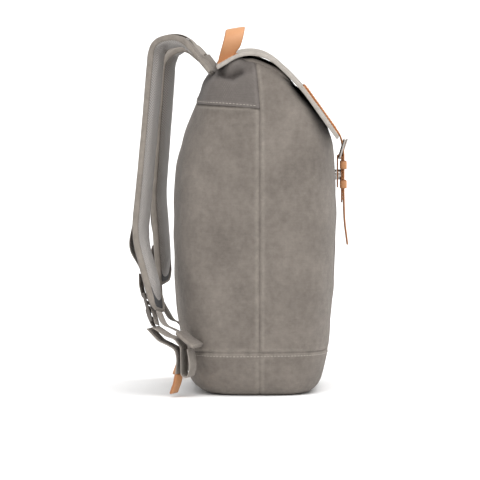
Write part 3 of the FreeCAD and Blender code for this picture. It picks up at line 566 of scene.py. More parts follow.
def flap_half(distance, margin=0.0):
    """Half the flap's width: its front corners are cut round."""
    into_corner = distance - (flap_length - margin - FLAP_CORNER)
    half = FLAP_HALF - margin
    if into_corner <= 0:
        return half
    share = min(into_corner / FLAP_CORNER, 1.0)
    return half - FLAP_CORNER * (1 - math.sqrt(1 - share * share))


def on_flap(x, distance, height):
    """A point at a height over the underside of the flap, and the flap's outward direction there."""
    point, ahead = flap_at(distance)
    outwards = Vector((0, ahead.y, -ahead.x))
    edge = (abs(x) / FLAP_HALF) ** 2.5
    rise = 4.0 * edge * math.exp(-((distance - 48) / 30) ** 2)
    slack = noise.noise(Vector((x * 0.016, distance * 0.022, 5.0))) * 1.1
    slack *= min(1.0, distance / 30, (flap_length - distance) / 30 + 0.3) * min(1.0, abs(x) / 40)
    outwards.x = 0.06 * edge * math.copysign(1, x)
    outwards.normalize()
    return Vector((x, point.x, point.y)) + outwards * (height + rise + slack), outwards


def to_front(share):
    """Rows of the flap: closer together towards its rounded front corners."""
    return 1 - (1 - share) ** 1.35


FLAP_BINDING = 5.0
FLAP_BINDING_HALF = 1.9


def flap_place(height, margin):
    def place(across, up):
        distance = (flap_length - margin) * to_front(up)
        half = flap_half(distance, margin)
        x = half * (2 * across - 1)
        point, _ = on_flap(x, distance, height)
        from_edge = min(half - abs(x), flap_length - margin - distance)
        return point, 0.9 * math.exp(-(from_edge / 5.0) ** 2) + 0.25
    return place


# The flap is the same washed canvas as the bag, but its colours are painted paler than the bag's canvas:
# painted light, standing in for the light that falls on the flap's upward faces from above.
FLAP_CANVAS_PAINTED_LIGHTER = washed_canvas("washed_flap_canvas_painted_lighter", "#857E77", "#A8A199", "#C6C0B8", 1.5 * MM)
flap_outer = cloth_grid("flap_outer", 150, 110, flap_place(FLAP_TOP, 1.5), FLAP_CANVAS_PAINTED_LIGHTER, wall=1.5)
flap_lining = cloth_grid("flap_lining", 110, 80, flap_place(FLAP_FACING - 0.1, 1.5), LINING, wall=1.0)


def flap_outline(margin):
    """The flap's edge from the root on one side, round the front, to the root on the other side."""
    count = 120
    rows = [(flap_length - margin) * to_front(number / count) for number in range(count + 1)]
    one = [Vector((-flap_half(row, margin), row)) for row in rows]
    front = [Vector((x / 20 * one[-1].x, rows[-1])) for x in range(19, -20, -1)]
    return one + front + [Vector((-point.x, point.y)) for point in reversed(one)]


edge_length, edge_at = along_line(flap_outline(FLAP_BINDING / 2))


def flap_binding_place(across, up):
    edge, ahead = edge_at(edge_length * across)
    turn = -2 * math.pi * up
    side = squarer(math.cos(turn), 0.5) * FLAP_BINDING / 2
    tall = squarer(math.sin(turn), 0.5) * FLAP_BINDING_HALF
    point, _ = on_flap(edge.x - ahead.y * side, edge.y + ahead.x * side, FLAP_TOP / 2 + tall)
    return point, 0.8


def close_shell(piece, merge=0.00001):
    """The seam of a rolled-up grid is merged, its open ends are filled and its faces point outwards."""
    bm = bmesh.new()
    bm.from_mesh(piece.data)
    bmesh.ops.remove_doubles(bm, verts=bm.verts, dist=merge)
    bmesh.ops.holes_fill(bm, edges=[edge for edge in bm.edges if edge.is_boundary])
    bmesh.ops.recalc_face_normals(bm, faces=bm.faces)
    bm.to_mesh(piece.data)
    bm.free()


# the binding takes the same flap canvas, painted paler for the light from above
flap_binding = cloth_grid("flap_binding", 420, 12, flap_binding_place, FLAP_CANVAS_PAINTED_LIGHTER)
close_shell(flap_binding, merge=0.00002)

for piece, node, finish in ((flap_outer, "flap_outer", "flap_canvas"),
                            (flap_lining, "flap_lining", "lining_cloth"),
                            (flap_binding, "flap_binding", "flap_canvas")):
    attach(piece, "flap")
    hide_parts(node)


# ---------------------------------------------------------------- tan leather: closing strap and handle
# Vegetable-tanned cowhide, 1.8 mm, cut with a strap knife: its edges are rounded and burnished darker.
# The closing strap is sewn to a patch on the flap and runs down through the buckle and two keepers.
def tanned_leather(name, dark, middle, pale):
    """Vegetable-tanned leather: fine pores, a soft waxed gloss and darker burnished edges."""
    material, tree, shader = new_material(name)
    place = add_node(tree, "ShaderNodeTexCoord")
    cloud = add_node(tree, "ShaderNodeTexNoise", {"Vector": place.outputs["Object"], "Scale": 55.0,
                                                 "Detail": 4.0, "Roughness": 0.6})
    pores = add_node(tree, "ShaderNodeTexVoronoi", {"Vector": place.outputs["Object"], "Scale": 1400.0,
                                                   "Randomness": 1.0})
    creases = add_node(tree, "ShaderNodeTexNoise", {"Vector": place.outputs["Object"], "Scale": 420.0,
                                                   "Detail": 3.0, "Roughness": 0.7, "Distortion": 0.6})
    tone = add_node(tree, "ShaderNodeMix", {0: cloud.outputs["Fac"], 6: srgb(middle), 7: srgb(pale)},
                    data_type="RGBA")
    burnish = add_node(tree, "ShaderNodeAttribute", attribute_name="wear")
    edge_tone = add_node(tree, "ShaderNodeMix", {0: burnish.outputs["Fac"], 6: tone.outputs[2],
                                                 7: srgb(dark)}, data_type="RGBA")
    relief = add_node(tree, "ShaderNodeMath", {0: pores.outputs["Distance"], 1: creases.outputs["Fac"]},
                      operation="ADD")
    bump = add_node(tree, "ShaderNodeBump", {"Height": relief.outputs[0], "Strength": 0.35,
                                             "Distance": 0.0003})
    gloss = add_node(tree, "ShaderNodeMapRange", {"Value": creases.outputs["Fac"], "To Min": 0.42,
                                                  "To Max": 0.6})
    tree.links.new(edge_tone.outputs[2], shader.inputs["Base Color"])
    tree.links.new(bump.outputs[0], shader.inputs["Normal"])
    tree.links.new(gloss.outputs[0], shader.inputs["Roughness"])
    shader.inputs["Specular IOR Level"].default_value = 0.4
    return material


LEATHER = tanned_leather("waxed_tan_leather", "#96603A", "#B97F52", "#CB966B")


def strip(name, line, width, low, high, material, place_point, tip=0.0, wear_edges=0.8, around=20,
          pitch=2.0):
    """A flat strip along a line, from low to high beside it, with rounded edges and an optional round tip.
    place_point turns (across, point, outward direction) into a point of the bag's frame."""
    length, at = along_line(line)
    rows = max(12, int(length / pitch))
    half_thick = (high - low) / 2

    def place(share_round, share_along):
        distance = length * crowded(share_along, 0.75)
        point, ahead = at(distance)
        out = beside(ahead)
        half = width / 2
        if tip and distance > length - tip:
            half *= math.sqrt(max(0.02, 1 - ((distance - length + tip) / tip) ** 2))
        from_end = min(distance, length - distance)
        soft = min(1.0, math.sqrt(max(0.0, from_end) / 0.7) * 0.6 + 0.4)
        turn = 2 * math.pi * share_round
        side = squarer(math.cos(turn), 0.35)
        tall = squarer(math.sin(turn), 0.7) * soft
        middle = point + out * ((low + high) / 2 + tall * half_thick)
        from_edge = (1 - abs(side)) * half
        wear = wear_edges * max(math.exp(-(from_edge / 0.8) ** 2), math.exp(-from_end ** 2))
        return place_point(side * half, middle, out), wear
    piece = cloth_grid(name, around, rows, place, material)
    close_shell(piece)
    return piece


def upright_side(across, point, out):
    """The plain upright plane that runs from front to back through the middle of the bag."""
    return Vector((across, point.x, point.y))


def part_of(line, start, end):
    """The stretch of a line between two distances along it."""
    length, at = along_line(line)
    steps = max(2, int(end - start))
    return [at(start + (end - start) * number / steps)[0] for number in range(steps + 1)]


crown = rounded_line(CROWN_LINE, CROWN_RADII)

# the bag's foremost wall, and the heel bar of the buckle as (back, up)
front_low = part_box("front_panel")[0].y / MM
HEEL = Vector((front_low - 5.55, CROWN_LINE[-1][1] - 25.5))

PATCH_START = flap_length - 76.0
PATCH_WIDTH = 46
patch_line = part_of(crown, PATCH_START, flap_length)
closure_patch = strip("closure_patch", patch_line, PATCH_WIDTH, FLAP_TOP + 0.1, PATCH_TOP, LEATHER,
                      upright_side)

# the closing strap lies on the patch, drops off the flap's edge and passes the buckle's heel bar
STRAP_WIDTH = 20
BILLET_Y = front_low - 10.3
fall = (patch_line[-1] - patch_line[-2]).normalized()
on_patch = [point + beside(ahead) * (PATCH_TOP + 1.0) for point, ahead in
            (flap_at(PATCH_START + step * 8) for step in range(9))]
CLOSING_LINE = [tuple(point) for point in on_patch] + [
    tuple(patch_line[-1] + beside(fall) * 5.4 + fall * 2.0), (HEEL.x - 2.6, HEEL.y + 19),
    (BILLET_Y, HEEL.y + 4), (BILLET_Y, HEEL.y - 42), (BILLET_Y - 1, HEEL.y - 79),
    (BILLET_Y - 5, HEEL.y - 110)]
CLOSING_RADII = [0] + [0.01] * 8 + [30, 14, 16, 40, 200, 0]
closing_strap = strip("closing_strap", rounded_line(CLOSING_LINE, CLOSING_RADII), STRAP_WIDTH, -1.0, 1.5,
                      LEATHER, upright_side, tip=9.0)

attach(closure_patch, "flap")
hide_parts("closure_patch")
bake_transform(closing_strap)
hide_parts("strap_top", "billet")

CHAPE_OUTER = HEEL.x - 2.65
CHAPE_LINE = [(front_low - 2.9, HEEL.y - 38), (front_low - 2.9, HEEL.y + 2.6), (CHAPE_OUTER, HEEL.y + 2.6),
              (CHAPE_OUTER, HEEL.y - 57)]
chape = strip("chape", rounded_line(CHAPE_LINE, [0, 2.6, 2.6, 0], step=0.5), STRAP_WIDTH, -0.9, 0.9,
              LEATHER, upright_side, tip=5.0, pitch=1.2)
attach(chape, "closure")
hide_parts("chape")

for node in ("keeper_upper", "keeper_lower"):
    low, high = (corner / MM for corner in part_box(node))
    half, back, front = high.x - 0.7, high.y - 0.7, low.y - 0.8
    ring = [(half - 4, back), (half, back), (half, front), (-half, front), (-half, back), (half - 6, back)]

    def keeper_place(across, point, out, middle=(low.z + high.z) / 2):
        return Vector((point.x, point.y, middle + across))

    keeper = strip(node, rounded_line(ring, [0, 1.2, 1.2, 1.2, 1.2, 0], step=0.3), high.z - low.z, -0.9, 1.1,
                   LEATHER, keeper_place, pitch=1.0)
    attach(keeper, "closure")
    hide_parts(node)

# The grab handle is one bent strip whose ends are sewn under two small leather feet on the flap.
HANDLE_HALF = 38.0
HANDLE_ROOT = (36.0, 411.2)
LOOP_LINE = [(-HANDLE_HALF, -2), (-HANDLE_HALF, 37), (HANDLE_HALF, 37), (HANDLE_HALF, -2)]


def handle_place(across, point, out):
    up = max(point.y, 0.0)
    lean = 0.46 * up - 0.0042 * up ** 2
    slope = -0.54 * across * math.exp(-(up / 9) ** 2)
    return Vector((point.x, HANDLE_ROOT[0] - lean + across * 0.98,
                   HANDLE_ROOT[1] + point.y + slope - 0.16 * across))


handle = strip("handle_loop", rounded_line(LOOP_LINE, [0, 26, 26, 0]), 25, -1.8, 1.8, LEATHER, handle_place)
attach(handle, "flap")
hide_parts("handle_loop")
feet = [strip("handle_foot_" + side_name, part_of(crown, 1.2, 29.0), 30, FLAP_TOP + 0.1, PATCH_TOP, LEATHER,
              lambda across, point, out, middle=middle: Vector((middle + across, point.x, point.y)))
        for side_name, middle in (("left", -HANDLE_HALF), ("right", HANDLE_HALF))]
for foot in feet:
    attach(foot, "flap")
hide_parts("handle_feet")


# ---------------------------------------------------------------- metal and moulded fittings
# The buckle and the snap are nickel-plated steel, tumbled before plating so that every edge is soft. The
# ladder locks are moulded in grey nylon.
def plated_steel():
    """Bright nickel on steel: a warm grey mirror with faint tumbling marks."""
    material, tree, shader = new_material("nickel_plated_steel")
    place = add_node(tree, "ShaderNodeTexCoord")
    marks = add_node(tree, "ShaderNodeTexNoise", {"Vector": place.outputs["Object"], "Scale": 700.0,
                                                 "Detail": 3.0, "Roughness": 0.6})
    tone = add_node(tree, "ShaderNodeMix", {0: marks.outputs["Fac"], 6: srgb("#8E8A86"), 7: srgb("#B9B5B0")},
                    data_type="RGBA")
    gloss = add_node(tree, "ShaderNodeMapRange", {"Value": marks.outputs["Fac"], "To Min": 0.18,
                                                  "To Max": 0.34})
    bump = add_node(tree, "ShaderNodeBump", {"Height": marks.outputs["Fac"], "Strength": 0.12,
                                             "Distance": 0.0001})
    tree.links.new(tone.outputs[2], shader.inputs["Base Color"])
    tree.links.new(gloss.outputs[0], shader.inputs["Roughness"])
    tree.links.new(bump.outputs[0], shader.inputs["Normal"])
    shader.inputs["Metallic"].default_value = 1.0
    return material


def moulded_nylon():
    """Grey glass-filled nylon: a satin moulded skin with a fine spark-eroded grain."""
    material, tree, shader = new_material("moulded_grey_nylon")
    place = add_node(tree, "ShaderNodeTexCoord")
    grain = add_node(tree, "ShaderNodeTexNoise", {"Vector": place.outputs["Object"], "Scale": 1600.0,
                                                 "Detail": 2.0, "Roughness": 0.5})
    tone = add_node(tree, "ShaderNodeMix", {0: grain.outputs["Fac"], 6: srgb("#57524E"), 7: srgb("#6B655F")},
                    data_type="RGBA")
    bump = add_node(tree, "ShaderNodeBump", {"Height": grain.outputs["Fac"], "Strength": 0.3,
                                             "Distance": 0.0002})
    tree.links.new(tone.outputs[2], shader.inputs["Base Color"])
    tree.links.new(bump.outputs[0], shader.inputs["Normal"])
    shader.inputs["Roughness"].default_value = 0.48
    return material


def finish_node(material, finish, *nodes):
    """A material on a CAD part that is already the right shape."""
    for node in nodes:
        piece = frame["nodes"][node]
        piece.data.materials.clear()
        piece.data.materials.append(material)


finish_node(plated_steel(), "nickel_steel", "buckle_frame", "buckle_prong", "snap_stud", "snap_cap")
finish_node(moulded_nylon(), "grey_nylon", "ladder_lock_left", "ladder_lock_right")


# ---------------------------------------------------------------- shoulder straps
# Each strap is a foam pad between the canvas and a herringbone spacer mesh, bound round its edge. A webbing
# ribbon is sewn down its outer face and folds round the top bar of the ladder lock.
def spacer_mesh():
    """Knitted polyester spacer mesh in a herringbone: zigzag ribs about 5 mm wide, drawn twice as coarse."""
    material, tree, shader = new_material("herringbone_spacer_mesh")
    cloth = add_node(tree, "ShaderNodeUVMap", uv_map="cloth")
    split = add_node(tree, "ShaderNodeSeparateXYZ", {"Vector": cloth.outputs["UV"]})
    fold = add_node(tree, "ShaderNodeMath", {0: split.outputs["X"], 1: 0.006}, operation="PINGPONG")
    slope = add_node(tree, "ShaderNodeMath", {0: fold.outputs[0], 1: split.outputs["Y"]}, operation="ADD")
    beat = add_node(tree, "ShaderNodeMath", {0: slope.outputs[0], 1: 2 * math.pi / 0.0032},
                    operation="MULTIPLY")
    ribs = add_node(tree, "ShaderNodeMath", {0: beat.outputs[0]}, operation="SINE")
    place = add_node(tree, "ShaderNodeTexCoord")
    fuzz = add_node(tree, "ShaderNodeTexNoise", {"Vector": place.outputs["Object"], "Scale": 600.0,
                                                "Detail": 2.0})
    lift = add_node(tree, "ShaderNodeMapRange", {"Value": ribs.outputs[0], "From Min": -1.0, "From Max": 1.0})
    tone = add_node(tree, "ShaderNodeMix", {0: lift.outputs[0], 6: srgb("#85807C"), 7: srgb("#B4AFAB")},
                    data_type="RGBA")
    relief = add_node(tree, "ShaderNodeMath", {0: lift.outputs[0], 1: fuzz.outputs["Fac"]}, operation="ADD")
    bump = add_node(tree, "ShaderNodeBump", {"Height": relief.outputs[0], "Strength": 0.7,
                                             "Distance": 0.0008})
    tree.links.new(tone.outputs[2], shader.inputs["Base Color"])
    tree.links.new(bump.outputs[0], shader.inputs["Normal"])
    shader.inputs["Roughness"].default_value = 0.85
    shader.inputs["Sheen Weight"].default_value = 0.15
    return material


def foam_rubber():
    """Closed-cell polyethylene foam: matt dark grey with fine skin cells."""
    material, tree, shader = new_material("closed_cell_foam")
    place = add_node(tree, "ShaderNodeTexCoord")
    cells = add_node(tree, "ShaderNodeTexVoronoi", {"Vector": place.outputs["Object"], "Scale": 900.0})
    tone = add_node(tree, "ShaderNodeMix", {0: cells.outputs["Distance"], 6: srgb("#3A3A3B"),
                                            7: srgb("#515152")}, data_type="RGBA")
    bump = add_node(tree, "ShaderNodeBump", {"Height": cells.outputs["Distance"], "Strength": 0.4,
                                             "Distance": 0.0004})
    tree.links.new(tone.outputs[2], shader.inputs["Base Color"])
    tree.links.new(bump.outputs[0], shader.inputs["Normal"])
    shader.inputs["Roughness"].default_value = 0.95
    return material


MESH = spacer_mesh()
FOAM = foam_rubber()
WEBBING = washed_canvas("cotton_webbing", "#7F7871", "#A09890", "#BDB5AC", 1.7 * MM, rib=1.6)

ROOT = Vector((56, 400.6))
STRAP_HALF = 30.0
STRAPS = {
    "left": dict(line=[(119, 103.6), (144, 194.6), (122, 434.6), (87, 438.6), (56, 400.6)],
                 radii=[0, 110, 21, 27, 0], side=-1, splay=8.5, webbing_turn=-20.0),
    "right": dict(line=[(116, 121.6), (124, 234.6), (111, 411.6), (84, 427.6), (56, 400.6)],
                  radii=[0, 150, 25, 19, 0], side=1, splay=-4.0, webbing_turn=20.0),
}
STRAP_SPREAD = 88
STRAP_TURN = -12
ROOT_GAP = 10.0
END_ROUND = 13


def strap_frame(strap):
    """The turn and place of a strap, which is drawn upright through the middle of the bag."""
    turn = (Matrix.Rotation(math.radians(strap["splay"]), 4, "Y")
            @ Matrix.Rotation(math.radians(STRAP_TURN), 4, "Z"))
    return (Matrix.Translation((strap["side"] * STRAP_SPREAD, ROOT.x, ROOT.y)) @ turn
            @ Matrix.Translation((0, -ROOT.x, -ROOT.y)))


def pad_shape(name, strap, half, thick, material, inset=0.0):
    """A closed pad along a strap: thick in the middle, thin at its edges and at its sewn ends."""
    length, at = along_line(strap["path"])
    low, high = inset, length - ROOT_GAP - inset

    def place(share_round, share_along):
        distance = low + (high - low) * crowded(share_along, 0.4)
        point, ahead = at(distance)
        turn = 2 * math.pi * share_round
        round_end = max(0.0, 1 - (distance - low) / END_ROUND)
        rounding = END_ROUND * (1 - math.sqrt(max(0.0, 1 - round_end ** 2)))
        wide = half - rounding - 3 * max(0.0, 1 - (high - distance) / 30)
        side = squarer(math.cos(turn), 0.8) * wide
        pinch = min(0.5 + 0.5 * min(1.0, (distance - low) / 14), 0.3 + 0.7 * min(1.0, (high - distance) / 34))
        tall = squarer(math.sin(turn), 0.7) * thick / 2 * pinch
        middle = point + beside(ahead) * tall
        return strap["frame"] @ Vector((side, middle.x, middle.y)), 0.0
    piece = cloth_grid(name, 40, 120, place, material)
    close_shell(piece)
    return piece


def apply_modifiers(piece):
    """The piece keeps its shape and loses its modifiers."""
    shape = bpy.data.meshes.new_from_object(piece.evaluated_get(bpy.context.evaluated_depsgraph_get()))
    piece.modifiers.clear()
    piece.data = shape


SWELL_FRAMES = 20


def swell(piece, limit):
    """Air pressure inside the cloth, with each point's movement capped, as a stuffed pad fills its cover."""
    remesh = piece.modifiers.new("voxels", "REMESH")
    remesh.mode = "VOXEL"
    remesh.voxel_size = 0.004
    apply_modifiers(piece)
    start = [vertex.co.copy() for vertex in piece.data.vertices]
    cloth = piece.modifiers.new("cloth", "CLOTH")
    cloth.settings.use_pressure = True
    cloth.settings.uniform_pressure_force = 4.0
    cloth.settings.effector_weights.gravity = 0.0
    cloth.settings.quality = 5
    cloth.settings.tension_stiffness = 12
    cloth.settings.bending_stiffness = 0.6
    cloth.point_cache.frame_start = 1
    cloth.point_cache.frame_end = SWELL_FRAMES
    for number in range(1, SWELL_FRAMES + 1):
        bpy.context.scene.frame_set(number)
    apply_modifiers(piece)
    bpy.context.scene.frame_set(1)
    for vertex, before in zip(piece.data.vertices, start):
        moved = vertex.co - before
        if moved.length > limit * MM:
            vertex.co = before + moved.normalized() * limit * MM


RIBBON_FOOT = 42.0
LOCK_OUT = 10.5
LOOP_REACH = 3.7
LOOP_HEAD = 23 - LOOP_REACH
WEBBING_WIDTH = 25
WEBBING_HALF = 0.8
TAB_HALF = 3.2

for name, strap in STRAPS.items():
    strap["path"] = rounded_line(strap["line"], strap["radii"])
    strap["frame"] = strap_frame(strap)
    length, at = along_line(strap["path"])
    pad = pad_shape("strap_pad_" + name, strap, STRAP_HALF - 1.5, 11.0, CANVAS)
    swell(pad, 2.2)
    finer = pad.modifiers.new("finer", "SUBSURF")
    finer.levels = finer.render_levels = 1
    apply_modifiers(pad)

    # where each point lies on the strap: across, along and outwards
    back_to_line = strap["frame"].inverted()
    marks = [at(step) for step in range(int(length) + 1)]
    tree = KDTree(len(marks))
    for step, (mark, _) in enumerate(marks):
        tree.insert((mark.x, mark.y, 0), step)
    tree.balance()
    local = []
    for vertex in pad.data.vertices:
        spot = back_to_line @ (vertex.co / MM)
        _, step, _ = tree.find((spot.y, spot.z, 0))
        mark, ahead = marks[step]
        gap = Vector((spot.y, spot.z)) - mark
        local.append((spot.x, step + gap.dot(ahead), gap.dot(beside(ahead))))

    for half_name, sign, material in (("cover", 1, CANVAS), ("mesh", -1, MESH)):
        bm = bmesh.new()
        bm.from_mesh(pad.data)
        uv = bm.loops.layers.uv.get("cloth") or bm.loops.layers.uv.new("cloth")
        wear = bm.verts.layers.float.get("wear") or bm.verts.layers.float.new("wear")
        bm.verts.ensure_lookup_table()
        away = [face for face in bm.faces
                if sign * sum(local[vertex.index][2] for vertex in face.verts) < 0]
        for face in bm.faces:
            for loop in face.loops:
                across, along, _ = local[loop.vert.index]
                loop[uv].uv = (across * MM, along * MM)
        for vertex in bm.verts:
            vertex[wear] = 0.35 * math.exp(-((STRAP_HALF - abs(local[vertex.index][0])) / 5) ** 2)
        bmesh.ops.delete(bm, geom=away, context="FACES")
        layer = new_piece("strap_%s_%s" % (half_name, name), bm, material)
        wall = layer.modifiers.new("cloth_wall", "SOLIDIFY")
        wall.thickness = 0.8 * MM
        wall.offset = -1
        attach(layer, "strap_" + name)
        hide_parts("strap_%s_%s" % (half_name, name))
    bpy.data.objects.remove(pad)

    core = pad_shape("strap_foam_" + name, strap, STRAP_HALF - 4, 7.0, FOAM, inset=3.0)
    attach(core, "strap_" + name)
    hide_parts("strap_foam_" + name)

    # a folded edge binding covers the seam between canvas and mesh
    pad_length = length - ROOT_GAP
    rim = STRAP_HALF - 1.6
    outline = rounded_line([(-rim, 200), (-rim, pad_length - 1), (rim, pad_length - 1), (rim, 1.5),
                            (-rim, 1.5), (-rim, 200)], [0, 5, 5, END_ROUND, END_ROUND, 0])
    outline_length, outline_at = along_line(outline)

    def strap_binding_place(across, up):
        spot, onward = outline_at(outline_length * (across % 1.0))
        turn = 2 * math.pi * up
        wide = squarer(math.cos(turn), 0.7) * 2.3
        side = spot.x - onward.y * wide
        distance = spot.y + onward.x * wide
        point, ahead = at(distance)
        pinch = min(0.5 + 0.5 * min(1.0, max(distance, 0) / 14),
                    0.45 + 0.55 * min(1.0, (pad_length - distance) / 34))
        tall = squarer(math.sin(turn), 0.7) * 3.6 * pinch
        squeeze = 1 - 0.1 * max(0.0, 1 - (pad_length - distance) / 30)
        middle = point + beside(ahead) * tall
        return strap["frame"] @ Vector((side * squeeze, middle.x, middle.y)), 0.5

    edge = cloth_grid("strap_binding_" + name, 420, 12, strap_binding_place, CANVAS, closed=True)
    close_shell(edge)
    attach(edge, "strap_" + name)

    # the ribbon bows out between its two lowest rows of stitching
    def on_strap(across, point, out, frame=strap["frame"]):
        return frame @ Vector((across, point.x, point.y))

    bowed = []
    for number in range(int((length - 13 - RIBBON_FOOT) / 3)):
        distance = RIBBON_FOOT + number * 3.0
        point, ahead = at(distance)
        bow = (7.0 if name == "left" else 3.0) * math.exp(-((distance - 82) / 20) ** 2)
        squeeze = 3.4 * max(0.0, 1 - (length - ROOT_GAP - distance) / 34)
        bowed.append(point + beside(ahead) * (6.3 + bow - squeeze))
    ribbon = strip("strap_ribbon_" + name, bowed, WEBBING_WIDTH, -WEBBING_HALF, WEBBING_HALF, WEBBING,
                   on_strap, wear_edges=0.5)

    # the end of the ribbon folds round the top bar of the lock and is sewn back to the strap
    foot = strap["path"][0]
    run = (strap["path"][1] - foot).normalized()

    def off_foot(spots, foot=foot, run=run):
        """Places given as the distance up the strap from its foot and out of its outer face."""
        return [tuple(foot + run * up + beside(run) * out) for up, out in spots]

    fold = off_foot([(RIBBON_FOOT + 14, 6.6), (RIBBON_FOOT, LOCK_OUT - LOOP_REACH),
                     (LOOP_HEAD, LOCK_OUT - LOOP_REACH), (LOOP_HEAD, LOCK_OUT + LOOP_REACH),
                     (RIBBON_FOOT - 6, LOCK_OUT + LOOP_REACH - 0.5), (RIBBON_FOOT + 8, LOCK_OUT - 0.5)])
    loop = strip("strap_loop_" + name, rounded_line(fold, [0, 20, 3.6, 3.6, 20, 0], step=0.6), WEBBING_WIDTH,
                 -WEBBING_HALF, WEBBING_HALF, WEBBING, on_strap, pitch=1.2, wear_edges=0.5)
    strap.update(off_foot=off_foot, on_strap=on_strap)

    for piece, node in ((ribbon, "strap_ribbon_"), (loop, "strap_loop_")):
        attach(piece, "strap_" + name)
        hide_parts(node + name)

    # the root of the strap is sewn flat between two layers of canvas on the yoke
    root_run = Vector((-0.63, -0.776))
    anchor_line = [tuple(ROOT - root_run * 15), tuple(ROOT - root_run * 2), tuple(ROOT + root_run * 9.5)]
    anchor = strip("strap_anchor_" + name, rounded_line(anchor_line, [0, 10, 0]), 58, -TAB_HALF, TAB_HALF,
                   CANVAS, on_strap, around=36, wear_edges=0.5)
    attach(anchor, "bag")
    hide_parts("strap_anchor_" + name)


# ---------------------------------------------------------------- adjusting webbing
# Flat cotton webbing, 25 mm wide. It is sewn under a canvas tab low on the back edge, stands up to the
# ladder lock, and its free end hangs back down to a folded leather tip.
STANDING = [(74, 60), (70, 38), (74, 24), (82, 27), (82.5, 62), (91, 72), (102, 75)]
STANDING_RADII = [0, 30, 4.5, 4.5, 8, 12, 15, 0]
HANGING = [(112, 69), (100, 64), (90, 59), (87.5, 48), (89, 27)]
HANGING_RADII = [0, 15, 18, 9, 25, 0]
TIP_LINE = [(89, 29), (91, 18), (96, 4.6)]
TAB_LINE = [(64, 63), (77, 71), (88, 80)]

for name, strap in STRAPS.items():
    [below_lock] = strap["off_foot"]([(-15.0, LOCK_OUT)])
    end = strap["frame"] @ Vector((0, *below_lock))
    webbing_turn = Matrix.Rotation(math.radians(strap["webbing_turn"]), 4, "Z")
    webbing_frame = (Matrix.Translation((end.x, end.y - 1.0, 0)) @ webbing_turn
                     @ Matrix.Translation((0, -120, 0)))

    def in_webbing_plane(across, point, out, place=webbing_frame):
        return place @ Vector((across, point.x, point.y))

    standing = strip("webbing_" + name, rounded_line(STANDING + [(120, end.z - 2)], STANDING_RADII, 0.7),
                     WEBBING_WIDTH, -WEBBING_HALF, WEBBING_HALF, WEBBING, in_webbing_plane, pitch=1.6,
                     wear_edges=0.5)
    hanging = strip("webbing_tail_" + name, rounded_line([(127, end.z - 4)] + HANGING, HANGING_RADII, 0.7),
                    WEBBING_WIDTH, -WEBBING_HALF, WEBBING_HALF, WEBBING, in_webbing_plane, pitch=1.6,
                    wear_edges=0.5)
    tip = strip("tail_tip_" + name, rounded_line(TIP_LINE, [0, 15, 0]), WEBBING_WIDTH, -1.9, 1.9, LEATHER,
                in_webbing_plane, pitch=1.4)

    # inside the lock the webbing goes up behind the lower bars and comes back over the middle one
    under = strap["off_foot"]([(-16, LOCK_OUT - 3.4), (-6, LOCK_OUT - 3.6), (5, LOCK_OUT - 3.4),
                               (9.5, LOCK_OUT), (4, LOCK_OUT + 3.4), (-5, LOCK_OUT + 3.2),
                               (-17, LOCK_OUT + 1.2)])
    thread = strip("webbing_thread_" + name, rounded_line(under, [0, 20, 3.5, 2.6, 3.5, 20, 0], 0.5),
                   WEBBING_WIDTH, -WEBBING_HALF, WEBBING_HALF, WEBBING, strap["on_strap"], pitch=1.2,
                   wear_edges=0.5)
    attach(thread, "lock_" + name)

    def tab_place(across, point, out, place=webbing_frame):
        narrowing = 1 - 0.25 * max(0.0, (point.x - 66) / 22)
        return place @ Vector((across * narrowing, point.x, point.y))
    tab = strip("anchor_tab_" + name, rounded_line(TAB_LINE, [0, 30, 0]), 36, -TAB_HALF, TAB_HALF, CANVAS,
                tab_place, wear_edges=0.6)
    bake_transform(standing)
    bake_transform(hanging)
    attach(tip, "strap_" + name)
    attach(tab, "bag")
    for piece, node, finish in ((standing, "webbing_", "webbing"), (hanging, "webbing_tail_", "webbing"),
                                (tip, "tail_tip_", "tan_leather"), (tab, "anchor_tab_", "canvas")):
        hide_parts(node + name)


# ---------------------------------------------------------------- inside the bag
# A flat pocket for a computer hangs against the back behind a foam sheet, and a fibreboard stiffens the
# floor. They show only when the flap is up.
def fibre_board():
    """Pressed grey-brown fibreboard: short flecks and a dull surface."""
    material, tree, shader = new_material("pressed_fibreboard")
    place = add_node(tree, "ShaderNodeTexCoord")
    stretch = add_node(tree, "ShaderNodeMapping", {"Vector": place.outputs["Object"], "Scale": (1, 3, 3)})
    flecks = add_node(tree, "ShaderNodeTexNoise", {"Vector": stretch.outputs["Vector"], "Scale": 300.0,
                                                  "Detail": 4.0, "Roughness": 0.7})
    tone = add_node(tree, "ShaderNodeMix", {0: flecks.outputs["Fac"], 6: srgb("#5A4A3B"), 7: srgb("#8B7761")},
                    data_type="RGBA")
    tree.links.new(tone.outputs[2], shader.inputs["Base Color"])
    shader.inputs["Roughness"].default_value = 0.9
    return material


finish_node(fibre_board(), "fibre_board", "base_board")

SLEEVE_HALF = 118.0
SLEEVE_LOW = 8.0
sleeve_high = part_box("laptop_sleeve")[1].z / MM
sleeve_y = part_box("laptop_sleeve")[0].y / MM


def sleeve_place(across, up):
    z = SLEEVE_LOW + (sleeve_high - SLEEVE_LOW) * up
    x = (SLEEVE_HALF - 18 * max(0.0, 1 - z / 80)) * (2 * across - 1)
    sag = 5.0 * (1 - (x / SLEEVE_HALF) ** 2) * up
    hem = 0.8 * math.exp(-((z - sleeve_high + 14) / 1.5) ** 2)
    return Vector((x, sleeve_y - sag + hem, z - 6.0 * (1 - (x / SLEEVE_HALF) ** 2) * up ** 4)), 0.0


sleeve = cloth_grid("laptop_sleeve", 80, 90, sleeve_place, LINING, wall=-2.0)
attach(sleeve, "bag")
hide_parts("laptop_sleeve")

foam_low, foam_high = (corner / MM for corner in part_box("back_foam"))


